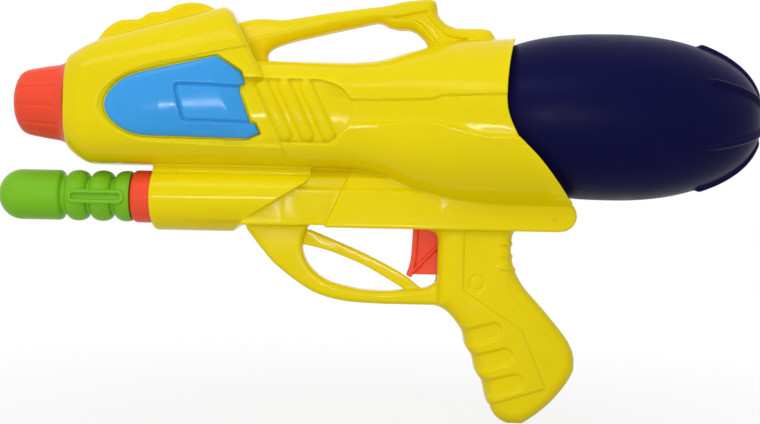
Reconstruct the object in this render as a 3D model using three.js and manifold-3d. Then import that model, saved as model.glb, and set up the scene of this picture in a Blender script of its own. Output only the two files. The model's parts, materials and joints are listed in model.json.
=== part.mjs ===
// Pump water squirter: a hand-held toy with a screw-on tank, a hand pump and a trigger valve.
// Millimetres, +Z up. The muzzle points along -X, the two shell halves meet on the plane Y = 0,
// and Z = 0 is the flat under the grip.
import * as THREE from "three";
import { mergeVertices } from "three/addons/utils/BufferGeometryUtils.js";
import Module from "manifold-3d";

const wasm = await Module();
wasm.setup();

// Fits
const WALL = 2.2; // moulded wall of the shell
const PART_GAP = 0.3; // between two pieces that rest on each other
const RUN_GAP = 0.3; // all round a piece that slides or turns
const PARTING_GAP = 0.3; // between the two shell halves

// Heights of the axes
const GRIP_HEIGHT = 107; // flat under the grip to the underside of the beam
const PUMP_RISE = 15.5; // underside of the beam to the pump's axis
const BARREL_RISE = 51.5; // pump's axis to the nozzle's axis
const TANK_DROP = 2; // nozzle's axis down to the tank's axis
const BEAM_Z = GRIP_HEIGHT;
const PUMP_Z = BEAM_Z + PUMP_RISE;
const NOZZLE_Z = PUMP_Z + BARREL_RISE;
const TANK_Z = NOZZLE_Z - TANK_DROP;

// Hood: the wide front of the shell
const NOSE_X = -173; // front face
const NOSE_R = 25.4; // half height of the front face
const HOOD_SHOULDER = 15; // length over which the front rounds out
const HOOD_RISE = 34.8; // above the nozzle's axis, at the shoulder
const HOOD_DROP = 34; // below the nozzle's axis
const HOOD_SLOPE = THREE.MathUtils.degToRad(15.6); // rise of the top towards the rear
const HOOD_LENGTH = 88.5; // nose to the rear corner of the top
const HOOD_LEAN = THREE.MathUtils.degToRad(27.5); // lean of the rear edge
const HOOD_HALF = 33.5; // half width
const HOOD_POWER = 2.8; // squareness of its section
const CREST_HALF = 7.5;
const CREST_X = NOSE_X + 14; // front of the first swell
const CREST_STEP = 20.5; // one swell to the next
const CREST_RISE = 13; // first swell above the hood's shoulder
const CREST_CLIMB = 4.7; // each swell above the last

// Barrel, cowl round the tank's front, and the beam below
const BARREL_HALF = 27.5;
const BARREL_TOP = 25.5; // above the nozzle's axis
const BEAM_HALF = 18;
const BEAM_FRONT_X = -30;
const BEAM_REAR_X = 109;
const BEAM_RISE = 40; // up into the barrel
const WAIST_HALF = 12.5;
const PAD_HALF = 30; // ribbed pad on both sides
const PAD_RIB = 1.5; // ribs above the pad
const HANDLE_HALF = 9;
const GRIP_HALF = 15;
const GRIP_EDGE = 8.5; // rounding of the grip's edges
const GUARD_HALF = 8;
const STRUT_HALF = 4.5;

// Side panels
const PANEL_PROUD = 0.6; // above the hood
const PANEL_SINK = 2; // below the hood's surface
const PANEL_PEG_R = 2;

// Nozzle
const NOZZLE_LENGTH = 32; // nose to the tip
const NOZZLE_TIP_R = 14;
const NOZZLE_R = 20.6; // where the skirt starts to flare
const NOZZLE_NECK_R = 20; // in the shell's front wall
const NOZZLE_BORE = 11;
const FLANGE = 2.5; // thickness and overhang of the ring behind the wall
const JET_R = 6.5;
const JET_BORE = 1.2;

// Hand pump
const TUBE_X = -126; // front of the tube housing
const TUBE_R = 18.4;
const CAP_R = 14.6;
const CAP_PROUD = 12; // in front of the tube housing
const CAP_SEAT = 14; // inside it
const CAP_WALL = 3;
const CYLINDER_R = 12.4;
const CYLINDER_BORE = 10.8;
const CYLINDER_LENGTH = 84;
const ROD_R = 3.6;
const PISTON_LENGTH = 9;
const RING_R = 1.3; // thickness of the piston's sealing ring, as a radius
const GRASP_LENGTH = 73.7;
const GRASP_R = 14;
const GRASP_RIBS = 3;
const GRASP_RIB_STEP = 13.4;
const GRASP_LAST_RIB = 2.4; // from the middle of the last rib to the handle's end
const GRASP_GROOVE = 1.7; // depth between the ribs

// Trigger and valve
const PIVOT_X = 26;
const PIVOT_RISE = 6.5; // above the underside of the beam
const PIN_R = 2;
const TRIGGER_HALF = 5.2;
const TRIGGER_DROP = 26; // below the underside of the beam
const VALVE_RISE = 17.5; // above the underside of the beam
const VALVE_X = -12; // front of the valve
const VALVE_LENGTH = 27;
const VALVE_R = 7.5;
const VALVE_BORE = 4.3;
const PLUNGER_PROUD = 4; // plunger behind the valve
const SPRING_LENGTH = 6.5;
const SPRING_WIRE = 0.4; // radius
const PIVOT_Z = BEAM_Z + PIVOT_RISE;
const VALVE_Z = BEAM_Z + VALVE_RISE;

// Tank and its socket
const TANK_R = 46.3;
const BELLY_X = 129; // widest place
const TANK_FRONT = 85; // widest place to the neck end
const TANK_TAIL = 83; // widest place to the rear
const FRONT_POWER = 2.5;
const TAIL_POWER = 2.2;
const TANK_WALL = 2;
const TANK_RIBS = 7; // one of them on the right
const TANK_RIB = 1.5; // height of the ribs on the tail
const TANK_RIB_WIDTH = 2.6;
const COWL_GAP = 1;
const NECK_R = 16;
const NECK_WALL = 2.5;
const NECK_X = 30.6; // front of the neck
const THREAD_PITCH = 4;
const THREAD_HEIGHT = 1.2;
const THREAD_TURNS = 1.5;
const GASKET = 2;
const SOCKET_BASE = 4;
const SOCKET_WALL = 2.4;
const SOCKET_DEPTH = 14;

// Hoses and their barbs
const HOSE_R = 3.4;
const HOSE_BORE = 2.4;
const BARB_R = HOSE_BORE - PART_GAP;
const BARB_BORE = 1.2;
const BARB_LENGTH = 8;

// Screws, driven from the right
const SCREW_R = 1.5;
const SCREW_HEAD_R = 3.2;
const SCREW_HEAD = 2;
const SCREW_LENGTH = 10;
const SCREW_SEAT = 5; // head's seat, from the parting plane
const BOSS_R = 5.4;
const SCREWS = [
  [NOSE_X + 21, NOZZLE_Z - 18],
  [NOSE_X + 69, NOZZLE_Z + 38],
  [-68.5, NOZZLE_Z + 39],
  [-62, NOZZLE_Z - 23],
  [48, TANK_Z + 36],
  [BEAM_REAR_X - 11.5, BEAM_Z + 6.8],
  [54.8, BEAM_Z - 28.2],
  [92, 27],
  [-56, BEAM_Z - 10],
];

const LARGE_SIDES = 24; // flats round a large turned piece
const SMALL_SIDES = 12; // flats round a small one
const HOLE_SIDES = 8; // flats round a screw, a pin or a bore
const REACH = 80; // past the shell, for cutters
const FAR = 3 * REACH;

// A closed three.js geometry as a solid that can be joined and cut.
function solid(geometry) {
  const bare = new THREE.BufferGeometry();
  bare.setAttribute("position", geometry.getAttribute("position"));
  bare.setIndex(geometry.getIndex());
  const welded = mergeVertices(bare, 1e-4);
  const index = welded.getIndex().array;
  const triVerts = [];
  for (let i = 0; i < index.length; i += 3) {
    const [a, b, c] = index.slice(i, i + 3);
    if (a !== b && b !== c && c !== a) triVerts.push(a, b, c);
  }
  return new wasm.Manifold(
    new wasm.Mesh({
      numProp: 3,
      vertProperties: new Float32Array(welded.getAttribute("position").array),
      triVerts: new Uint32Array(triVerts),
    }),
  );
}

function joined(solids) {
  return solids.reduce((whole, next) => whole.add(next));
}

function cut(whole, solids) {
  return solids.reduce((left, next) => left.subtract(next), whole);
}

function block(x0, x1, y0, y1, z0, z1) {
  const box = new THREE.BoxGeometry(x1 - x0, y1 - y0, z1 - z0);
  return solid(box.translate((x0 + x1) / 2, (y0 + y1) / 2, (z0 + z1) / 2));
}

// A profile of [x, radius] points turned about an axis along X.
function turned(profile, axisZ, sides = SMALL_SIDES) {
  const points = profile.map(([x, r]) => new THREE.Vector2(r, x));
  if (THREE.ShapeUtils.area(points) < 0) points.reverse();
  const made = new THREE.LatheGeometry(points, sides).rotateZ(-Math.PI / 2);
  return solid(made.translate(0, 0, axisZ));
}

function rod(x0, x1, radius, y, z, sides = SMALL_SIDES) {
  const made = new THREE.CylinderGeometry(radius, radius, x1 - x0, sides).rotateZ(Math.PI / 2);
  return solid(made.translate((x0 + x1) / 2, y, z));
}

function crossRod(y0, y1, radius, x, z, sides = HOLE_SIDES) {
  const made = new THREE.CylinderGeometry(radius, radius, y1 - y0, sides);
  return solid(made.translate(x, (y0 + y1) / 2, z));
}

function post(x, y, z0, z1, radius) {
  const made = new THREE.CylinderGeometry(radius, radius, z1 - z0, HOLE_SIDES).rotateX(Math.PI / 2);
  return solid(made.translate(x, y, (z0 + z1) / 2));
}

// A side-view shape given thickness across Y, with rounded edges; inset shrinks it all round.
function slab(shape, half, edge, { inset = 0, detail = 1, rings = 1 } = {}) {
  const flat = half - inset - edge;
  const made = new THREE.ExtrudeGeometry(shape, {
    depth: 2 * flat,
    bevelThickness: edge,
    bevelSize: edge,
    bevelOffset: -edge - inset,
    bevelSegments: rings,
    curveSegments: detail,
  });
  return solid(made.translate(0, 0, -flat).rotateX(Math.PI / 2));
}

// A side-view shape with square edges between two places on Y.
function prism(shape, y0, y1, detail = 1) {
  const made = new THREE.ExtrudeGeometry(shape, {
    depth: y1 - y0,
    bevelEnabled: false,
    curveSegments: detail,
  });
  return solid(made.translate(0, 0, -y1).rotateX(Math.PI / 2));
}

function polygon(points) {
  return new THREE.Shape(points.map(([x, z]) => new THREE.Vector2(x, z)));
}

// A closed outline of straight and curved runs: each run is a list of points, curved if it has over two.
function outline(runs) {
  const shape = new THREE.Shape();
  shape.moveTo(...runs[0][0]);
  for (const run of runs) {
    shape.lineTo(...run[0]);
    const rest = run.slice(1).map(([x, z]) => new THREE.Vector2(x, z));
    if (rest.length > 1) shape.splineThru(rest);
    else if (rest.length === 1) shape.lineTo(rest[0].x, rest[0].y);
  }
  return shape;
}

// A closed skin through rings of points along +X, with flat ends.
function loft(rings) {
  const count = rings[0].length;
  const positions = rings.flat(2);
  const index = [];
  const middle = (ring) => [0, 1, 2].map((axis) => ring.reduce((sum, p) => sum + p[axis], 0) / count);
  const first = rings.length * count;
  positions.push(...middle(rings[0]), ...middle(rings.at(-1)));
  for (let k = 0; k < count; k += 1) {
    const next = (k + 1) % count;
    for (let i = 0; i + 1 < rings.length; i += 1) {
      const [a, b] = [i * count, (i + 1) * count];
      index.push(a + k, a + next, b + k, b + k, a + next, b + next);
    }
    const last = (rings.length - 1) * count;
    index.push(first, next, k, first + 1, last + k, last + next);
  }
  const made = new THREE.BufferGeometry();
  made.setAttribute("position", new THREE.Float32BufferAttribute(positions, 3));
  made.setIndex(index);
  return solid(made);
}

// One ring of a loft across X: an oval that gets squarer as the power grows.
function oval(x, top, bottom, half, power, count = 16) {
  const bend = (value) => Math.sign(value) * Math.abs(value) ** (2 / power);
  return Array.from({ length: count }, (unused, k) => {
    const angle = (2 * Math.PI * k) / count;
    const z = (top + bottom) / 2 + ((top - bottom) / 2) * bend(Math.sin(angle));
    return [x, half * bend(Math.cos(angle)), z];
  });
}

// A ridge or wire wound about an axis along X: its section is a list of [along, out] points.
function coil(section, x, axisZ, radius, pitch, turns, start, steps) {
  const rings = [];
  const count = Math.ceil(turns * steps);
  for (let i = 0; i <= count; i += 1) {
    const angle = (2 * Math.PI * turns * i) / count;
    const turn = angle + start;
    rings.push(
      section.map(([along, out]) => [
        x + (pitch * angle) / (2 * Math.PI) + along,
        (radius + out) * Math.cos(turn),
        axisZ + (radius + out) * Math.sin(turn),
      ]),
    );
  }
  const made = loft(rings);
  return made;
}

function hose(points, outer, bore, steps) {
  const shape = new THREE.Shape().absarc(0, 0, outer, 0, 2 * Math.PI);
  shape.holes.push(new THREE.Path().absarc(0, 0, bore, 0, 2 * Math.PI));
  const path = new THREE.CatmullRomCurve3(points.map((p) => new THREE.Vector3(...p)));
  return solid(new THREE.ExtrudeGeometry(shape, { steps, extrudePath: path, curveSegments: 4 }));
}

// Shell outlines

// The hood, grown outwards or, with a negative value, shrunk.
function hood(grow) {
  const rings = [];
  const station = (back, rise, drop, half) =>
    rings.push(
      oval(NOSE_X + back - grow, NOZZLE_Z + rise + grow, NOZZLE_Z - drop - grow, half + grow, HOOD_POWER),
    );
  const frontHalf = HOOD_HALF - 2;
  for (let i = 0; i <= 3; i += 1) {
    const swell = Math.sin((Math.PI / 2) * (i / 3));
    const grown = (full) => NOSE_R + (full - NOSE_R) * swell;
    station((HOOD_SHOULDER * i) / 3, grown(HOOD_RISE), grown(HOOD_DROP), grown(frontHalf));
  }
  for (const back of [HOOD_LENGTH * 0.6, HOOD_LENGTH, HOOD_LENGTH + 60]) {
    station(back, HOOD_RISE + Math.tan(HOOD_SLOPE) * (back - HOOD_SHOULDER), HOOD_DROP, HOOD_HALF);
  }
  return loft(rings);
}

const HOOD_TOP = NOZZLE_Z + HOOD_RISE + Math.tan(HOOD_SLOPE) * (HOOD_LENGTH - HOOD_SHOULDER);
const HOOD_REAR_X = NOSE_X + HOOD_LENGTH;

// All that lies behind the hood's leaning rear edge.
function behindHood(forward) {
  const spread = (z) => HOOD_REAR_X + (HOOD_TOP - z) * Math.tan(HOOD_LEAN) - forward;
  const [low, high] = [BEAM_Z, HOOD_TOP + REACH];
  return prism(
    polygon([[spread(low), low], [BEAM_REAR_X, low], [BEAM_REAR_X, high], [spread(high), high]]),
    -REACH,
    REACH,
  );
}

function tankRadius(x, grow) {
  const [length, power] = x < BELLY_X ? [TANK_FRONT, FRONT_POWER] : [TANK_TAIL, TAIL_POWER];
  const share = Math.min(1, Math.abs(x - BELLY_X) / (length + grow));
  return (TANK_R + grow) * (1 - share ** power) ** (1 / power);
}

// Profile of the tank's body from front to rear, grown or shrunk.
function tankProfile(grow, count) {
  const points = [];
  for (let i = 0; i <= count; i += 1) {
    const angle = (Math.PI * i) / count;
    const reach = (angle < Math.PI / 2 ? TANK_FRONT : TANK_TAIL) + grow;
    const x = BELLY_X - reach * Math.sign(Math.cos(angle)) * Math.abs(Math.cos(angle)) ** 0.8;
    points.push([x, i === 0 || i === count ? 0 : tankRadius(x, grow)]);
  }
  return points;
}

const COWL_TOP = TANK_Z + tankRadius(74, COWL_GAP + WALL);

function barrel(grow) {
  const ring = (x, top, bottom, half) => oval(x, top + grow, bottom - grow, half + grow, 2.2);
  const top = NOZZLE_Z + BARREL_TOP;
  const bottom = NOZZLE_Z - HOOD_DROP;
  const belly = tankRadius(BEAM_REAR_X, COWL_GAP + WALL);
  const skirt = BEAM_Z + 12;
  return loft([
    ring(-95 - grow, top, bottom, BARREL_HALF),
    ring(-22, top - 0.7, bottom, BARREL_HALF),
    ring(-4, top + 0.7, bottom - 2.5, BARREL_HALF + 2.5),
    ring(20, top + 7.6, bottom - 12.5, BARREL_HALF + 10.5),
    ring(44, COWL_TOP - 2, skirt + 2, BARREL_HALF + 16),
    ring(74, COWL_TOP, skirt, belly - 3),
    ring(BEAM_REAR_X + grow, TANK_Z + belly, skirt, belly),
  ]);
}

// Space behind the cowl's curved rear edge, where the tank shows.
function behindCowl() {
  const z = (rise) => TANK_Z + rise;
  return prism(
    outline([
      [[76, z(REACH)], [75, z(43.5)]],
      [[75, z(43.5)], [71.2, z(36)], [68, z(23)], [66.6, z(8)], [68, z(-3)], [73, z(-14)]],
      [[73, z(-14)], [84.6, z(-25.2)], [95.4, z(-37.6)], [102.5, z(-46)], [BEAM_REAR_X - 2, z(-50)]],
      [[BEAM_REAR_X + 60, z(-50)], [BEAM_REAR_X + 60, z(REACH)]],
    ]),
    -REACH,
    REACH,
  );
}

function beamShape() {
  return outline([
    [[BEAM_FRONT_X, BEAM_Z], [BEAM_REAR_X - 17, BEAM_Z]],
    [[BEAM_REAR_X - 17, BEAM_Z], [BEAM_REAR_X - 6, BEAM_Z + 2.2], [BEAM_REAR_X, BEAM_Z + 12]],
    [[BEAM_REAR_X, BEAM_Z + 15], [BEAM_REAR_X - 12, BEAM_Z + BEAM_RISE]],
    [[BEAM_FRONT_X + 0.42 * BEAM_RISE, BEAM_Z + BEAM_RISE]],
  ]);
}

function waistShape() {
  const [low, high] = [BEAM_Z + 0.8, NOZZLE_Z - HOOD_DROP + 6];
  return polygon([[-84, low], [BEAM_FRONT_X + 16, low], [BEAM_FRONT_X + 16, high], [-84, high]]);
}

function padShape() {
  const x = (back) => HOOD_REAR_X + back;
  const z = (rise) => NOZZLE_Z + rise;
  return outline([
    [[x(8.5), z(12.8)], [x(51.5), z(12.8)]],
    [[x(51.5), z(12.8)], [x(64), z(8.5)], [x(69.5), z(-2)], [x(67), z(-11)], [x(59.5), z(-19.5)]],
    [[x(59.5), z(-19.5)], [x(22.5), z(-19.5)]],
  ]);
}

function panelShape() {
  const x = (back) => NOSE_X + back;
  const z = (rise) => NOZZLE_Z + rise;
  return outline([
    [[x(85), z(23.6)], [x(37), z(12.6)]],
    [[x(37), z(12.6)], [x(29.5), z(5.8)], [x(26), z(-1.4)], [x(33), z(-13.2)], [x(45.5), z(-18.8)]],
    [[x(45.5), z(-18.8)], [x(101.5), z(-20.2)]],
    [[x(108.2), z(-16.5)], [x(106), z(-11.6)]],
    [[x(103), z(-10.4)], [x(97.5), z(5)]],
    [[x(99.8), z(10.4)], [x(98), z(16)]],
  ]);
}

function guardShape() {
  const z = (drop) => BEAM_Z - drop;
  return outline([
    [[-74, z(-4)], [-72.8, z(1.5)]],
    [[-72.8, z(1.5)], [-63.6, z(13)], [-54.5, z(22.4)], [-36.3, z(34.9)], [-18.3, z(40.1)], [4, z(41.4)]],
    [[34, z(41.4)], [46, z(41.4)]],
    [[46, z(30)], [33.4, z(26.5)]],
    [[33.4, z(26.5)], [31.6, z(29.6)], [26, z(32.3)], [15, z(33.4)], [4, z(34.4)], [-9.4, z(33.7)]],
    [[-9.4, z(33.7)], [-26.3, z(29.6)], [-36, z(23)], [-41, z(15)], [-41.6, z(7)], [-38, z(-4)]],
  ]);
}

function strutShape() {
  const z = (drop) => BEAM_Z - drop;
  return outline([
    [[-45, z(2)], [-38, z(1)]],
    [[-38, z(1)], [-18.9, z(8.7)], [-5.3, z(14.6)], [12.8, z(23.8)], [25, z(32.8)]],
    [[25, z(36)], [17, z(34)]],
    [[17, z(34)], [-5.2, z(21.3)], [-18.8, z(15.5)], [-30, z(11.7)], [-45, z(8.5)]],
  ]);
}

const FINGERS = 3;
const FINGER_STEP = [5.9, -14]; // one swell to the next
const FINGER_DENT = [2, -8]; // swell to the hollow below it
const FINGER_TOP = [47.6, 51.6]; // first swell

function gripShape() {
  const z = (drop) => BEAM_Z - drop;
  const front = [[33.2, z(41.4)], [40, z(45.5)]];
  for (let i = 0; i < FINGERS; i += 1) {
    const swell = [FINGER_TOP[0] + i * FINGER_STEP[0], FINGER_TOP[1] + i * FINGER_STEP[1]];
    front.push(swell, [swell[0] + FINGER_DENT[0], swell[1] + FINGER_DENT[1]]);
  }
  front.push([64.2, 7], [68.5, 2.4], [73.5, 0]);
  return outline([
    [[33.2, z(-12)], [33.2, z(41.4)]],
    front,
    [[73.5, 0], [82, 0]],
    [[82, 0], [91, 6.2], [100, 14.6], [108.5, 26], [112.3, 37.2], [109.5, 47.5], [102.9, 57.1]],
    [[102.9, 57.1], [93.7, 68.1], [84.6, 78]],
    [[84.6, 78], [78.2, z(20)], [75.8, z(10)], [76.7, z(1)]],
    [[76.7, z(-12)]],
  ]);
}

function handleShape() {
  const z = (rise) => NOZZLE_Z + rise;
  return outline([
    [[-92, z(10)], [-92, z(46)]],
    [[-80, z(50)], [-74, z(51.5)], [-66.4, z(52)], [-56, z(50.6)]],
    [[-48.5, z(51.4)], [-21.7, z(55.7)], [5, z(59.2)], [25, z(61.8)]],
    [[25, z(61.8)], [28.5, z(61.6)], [30.6, z(58)], [31.4, z(53)], [35.5, z(48.3)], [41.3, z(45.9)]],
    [[41.3, z(45.9)], [58, z(45.9)]],
    [[58, z(45.9)], [62.2, z(45)], [65, z(41)]],
    [[65, z(30)], [30, z(20)]],
    [[-20, z(15)]],
  ]);
}

// The window under the carry handle.
function windowShape() {
  const z = (rise) => NOZZLE_Z + rise;
  return outline([
    [[-57, z(26)], [-21, z(24.5)]],
    [[-21, z(24.5)], [-7.6, z(25.3)], [1.3, z(27.2)], [10.2, z(29.6)], [19, z(32.6)]],
    [[25.6, z(35)], [23.5, z(39.4)]],
    [[23.5, z(39.4)], [19, z(43.8)], [14.4, z(44.8)], [4.3, z(44.2)]],
    [[-1.3, z(47.2)], [-48, z(35.8)]],
    [[-48, z(35.8)], [-57, z(32.6)], [-60.6, z(29.5)]],
  ]);
}

// Three stepped swells along the top of the hood.
function crestShape() {
  const shape = new THREE.Shape();
  const baseZ = NOZZLE_Z + HOOD_RISE - 6;
  shape.moveTo(CREST_X - 2, baseZ);
  const points = [];
  for (let i = 0; i < 3; i += 1) {
    const x = CREST_X + i * CREST_STEP;
    const z = baseZ + 6 + CREST_RISE - 0.6 + i * CREST_CLIMB;
    if (i === 0) points.push([x + 4.5, z - 6]);
    points.push([x + 10, z - 1.6], [x + 16, z - 0.4], [x + 21, z - 0.2]);
  }
  const crown = points.at(-1);
  points.push([crown[0] + 8, crown[1] - 3]);
  shape.splineThru(points.map(([x, z]) => new THREE.Vector2(x, z)));
  shape.lineTo(crown[0] + 12, baseZ + 8);
  return shape;
}

// Pump places, worked back from the front of the tube housing
const CAP_X = TUBE_X - CAP_PROUD;
const CYLINDER_X = CAP_X + CAP_WALL + PART_GAP;
const CYLINDER_END = CYLINDER_X + CYLINDER_LENGTH;
const END_WALL = 2.5;
const SPIGOT_R = 5;
const SPIGOT = 6;
const CHECK_R = 7.5;
const CHECK_LENGTH = 19;
const CHECK_X = CYLINDER_END + PART_GAP;
const CHECK_BARB_X = CHECK_X + CHECK_LENGTH - 5;
const PISTON_END = CYLINDER_END - END_WALL - 1;
const PISTON_X = PISTON_END - PISTON_LENGTH;
const GRASP_END = CAP_X - PART_GAP;
const GRASP_BORE = 46; // depth of the rod in the handle

// Socket places, worked forward from the neck
const GASKET_X = NECK_X - PART_GAP - GASKET;
const SOCKET_X = GASKET_X - PART_GAP - SOCKET_BASE;
const SOCKET_BORE = NECK_R + THREAD_HEIGHT + RUN_GAP + 0.1;
const SOCKET_R = SOCKET_BORE + SOCKET_WALL;
const FLANGE_R = SOCKET_R + 3;
const WATER_PORT = [0, TANK_Z - 8];
const AIR_PORT = [7, TANK_Z + 5];

// Valve places
const VALVE_END = VALVE_X + VALVE_LENGTH;
const BORE_X = VALVE_X + 4; // front end of the valve's bore
const PLUNGER_X = BORE_X + SPRING_LENGTH + 2 * PART_GAP;
const PLUNGER_END = VALVE_END + PLUNGER_PROUD;
const OUTLET_X = VALVE_X + 5.5;
const INLET_X = VALVE_X + 19.5;
const BARB_TOP = VALVE_Z + VALVE_R + BARB_LENGTH;

// A plate across the shell that carries a round piece; it joins the shell's walls.
function plate(x, thick, z0, z1, half) {
  return block(x - thick / 2, x + thick / 2, -half, half, z0, z1);
}

function makeShell() {
  const padRibs = [20, 32, 44].map((back) => {
    const x = HOOD_REAR_X + back;
    const [low, high] = [NOZZLE_Z - 18.6, NOZZLE_Z + 11.8];
    const rib = polygon([[x + 12.2, low], [x + 17.2, low], [x + 2.5, high], [x - 2.5, high]]);
    return slab(rib, PAD_HALF + PAD_RIB, 1.3);
  });
  const hoodCut = behindHood(0);
  const tubeLow = PUMP_Z - TUBE_R - 4;
  const hoodLow = NOZZLE_Z - HOOD_DROP;
  const tail = polygon([
    [TUBE_X + 42, tubeLow],
    [TUBE_X + 87, BEAM_Z + 26],
    [TUBE_X + 90, hoodLow],
    [BEAM_FRONT_X + 30, hoodLow],
    [BEAM_FRONT_X + 30, tubeLow],
  ]);
  const tubeEnd = BEAM_FRONT_X + 10;
  const tube = rod(TUBE_X, tubeEnd, TUBE_R, 0, PUMP_Z, LARGE_SIDES).subtract(prism(tail, -REACH, REACH));
  const pad = slab(padShape(), PAD_HALF, 1.2);
  const padCut = [-1, 1].map((side) =>
    prism(padShape(), side < 0 ? -REACH : PAD_HALF - 1, side < 0 ? 1 - PAD_HALF : REACH),
  );
  const front = cut(hood(0).subtract(hoodCut), padCut);
  const outside = joined([
    front,
    barrel(0).subtract(behindCowl()),
    slab(beamShape(), BEAM_HALF, 5).subtract(behindCowl()),
    slab(waistShape(), WAIST_HALF, 2),
    tube,
    pad,
    ...padRibs,
    slab(guardShape(), GUARD_HALF, 2.5),
    slab(strutShape(), STRUT_HALF, 1.5),
    slab(gripShape(), GRIP_HALF, GRIP_EDGE, { rings: 2 }),
    slab(handleShape(), HANDLE_HALF, 2).subtract(prism(windowShape(), -REACH, REACH)),
    slab(crestShape(), CREST_HALF, 3),
  ]);

  const tankRoom = turned(tankProfile(COWL_GAP, 12), TANK_Z, LARGE_SIDES);
  const underPad = slab(padShape(), REACH, 0.1, { inset: -WALL });
  const padWall = underPad.subtract(block(-FAR, FAR, WALL - PAD_HALF, PAD_HALF - WALL, 0, FAR));
  const room = joined([
    cut(hood(-WALL), [behindHood(WALL), padWall]),
    barrel(-WALL),
    slab(beamShape(), BEAM_HALF, 3, { inset: WALL }),
    slab(waistShape(), WAIST_HALF, 0.5, { inset: WALL }),
    slab(gripShape(), GRIP_HALF, GRIP_EDGE - 2.5, { inset: WALL }),
    rod(TUBE_X + WALL, -85, TUBE_R - WALL, 0, PUMP_Z, LARGE_SIDES),
    tankRoom,
  ]);

  // Panel pockets: the wall steps inwards behind each panel.
  const pocketDepth = PANEL_SINK + PART_GAP;
  const around = slab(panelShape(), REACH, 0.1, { inset: -3 });
  const inPocket = slab(panelShape(), REACH, 0.1, { inset: -PART_GAP });
  const sides = cut(hood(3), [block(NOSE_X - 10, 60, -BARREL_HALF + 9, BARREL_HALF - 9, BEAM_Z, HOOD_TOP)]);
  const backing = sides.intersect(around).intersect(hood(-pocketDepth).subtract(hood(-pocketDepth - WALL)));
  const pocket = sides.intersect(inPocket).subtract(hood(-pocketDepth));

  const bosses = SCREWS.map(([x, z]) => crossRod(-REACH, REACH, BOSS_R, x, z));
  const pinBoss = crossRod(-REACH, REACH, PIN_R + 2.5, PIVOT_X, PIVOT_Z);
  const plates = [
    plate(TUBE_X + CAP_SEAT - 3, 2.5, PUMP_Z - TUBE_R, PUMP_Z + TUBE_R, TUBE_R),
    plate(-74, 2.5, PUMP_Z - TUBE_R, PUMP_Z + TUBE_R, TUBE_R),
    plate(CYLINDER_END - 8, 2.5, PUMP_Z - TUBE_R, PUMP_Z + TUBE_R, TUBE_R),
    plate(VALVE_X + 12.5, 2, BEAM_Z, VALVE_Z + VALVE_R + 2.5, BEAM_HALF),
    plate(VALVE_END - 2, 2, BEAM_Z, VALVE_Z + VALVE_R + 2.5, BEAM_HALF),
    plate(SOCKET_X - PART_GAP - 1.2, 2.4, BEAM_Z, HOOD_TOP, REACH),
    plate(SOCKET_X + FLANGE + PART_GAP + 1.2, 2.4, BEAM_Z, HOOD_TOP, REACH),
  ];
  const fill = joined([...plates, ...bosses, pinBoss]).intersect(outside);

  const sweep = TRIGGER_HALF + RUN_GAP;
  const slot = slab(triggerRoomShape(), sweep + 0.1, 0.1);
  const cutters = [
    pocket,
    slot,
    tankRoom,
    rod(NOSE_X - 1, NOSE_X + WALL + 1, NOZZLE_NECK_R + PART_GAP, 0, NOZZLE_Z, LARGE_SIDES),
    rod(TUBE_X - 1, TUBE_X + CAP_SEAT + PART_GAP, CAP_R + PART_GAP, 0, PUMP_Z, LARGE_SIDES),
    rod(TUBE_X, CYLINDER_END + PART_GAP, CYLINDER_R + PART_GAP, 0, PUMP_Z, LARGE_SIDES),
    rod(CYLINDER_END, CHECK_X + CHECK_LENGTH + PART_GAP, CHECK_R + PART_GAP, 0, PUMP_Z),
    post(CHECK_BARB_X, 0, PUMP_Z, NOZZLE_Z - HOOD_DROP + 4, HOSE_R + 2.5),
    rod(VALVE_X - PART_GAP, VALVE_END + PART_GAP, VALVE_R + PART_GAP, 0, VALVE_Z),
    rod(SOCKET_X, SOCKET_X + SOCKET_BASE + SOCKET_DEPTH + 1, SOCKET_R + PART_GAP, 0, TANK_Z, LARGE_SIDES),
    rod(SOCKET_X - 4, SOCKET_X, AIR_PORT[0] + 10, 0, TANK_Z, LARGE_SIDES),
    crossRod(-BEAM_HALF + WALL, BEAM_HALF - WALL, PIN_R + PART_GAP, PIVOT_X, PIVOT_Z),
    ...PANEL_PEGS.map(([x, z]) => crossRod(-REACH, REACH, PANEL_PEG_R + PART_GAP, x, z)),
    ...SCREWS.flatMap(([x, z]) => [
      crossRod(SCREW_SEAT, REACH, SCREW_HEAD_R + PART_GAP, x, z),
      crossRod(SCREW_SEAT - SCREW_LENGTH - 1, SCREW_SEAT + 1, SCREW_R + PART_GAP, x, z),
    ]),
  ];
  return cut(joined([outside.subtract(room), backing, fill]), cutters);
}

const PANEL_PEGS = [[NOSE_X + 45, NOZZLE_Z - 4], [NOSE_X + 81, NOZZLE_Z - 12]];

function makePanel(side) {
  const band = hood(PANEL_PROUD).subtract(hood(-PANEL_SINK));
  const [y0, y1] = side < 0 ? [-REACH, -PAD_HALF / 2] : [PAD_HALF / 2, REACH];
  const skin = prism(panelShape(), y0, y1).intersect(band);
  const pegs = PANEL_PEGS.map(([x, z]) => crossRod(y0, y1, PANEL_PEG_R, x, z, 12));
  const inside = HOOD_HALF - PANEL_SINK - WALL - 2.5;
  const span = side < 0 ? [-HOOD_HALF, -inside] : [inside, HOOD_HALF];
  const reach = block(NOSE_X, 0, span[0], span[1], BEAM_Z, HOOD_TOP);
  return joined([skin, ...pegs.map((peg) => peg.intersect(reach).intersect(hood(0)))]);
}

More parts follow.
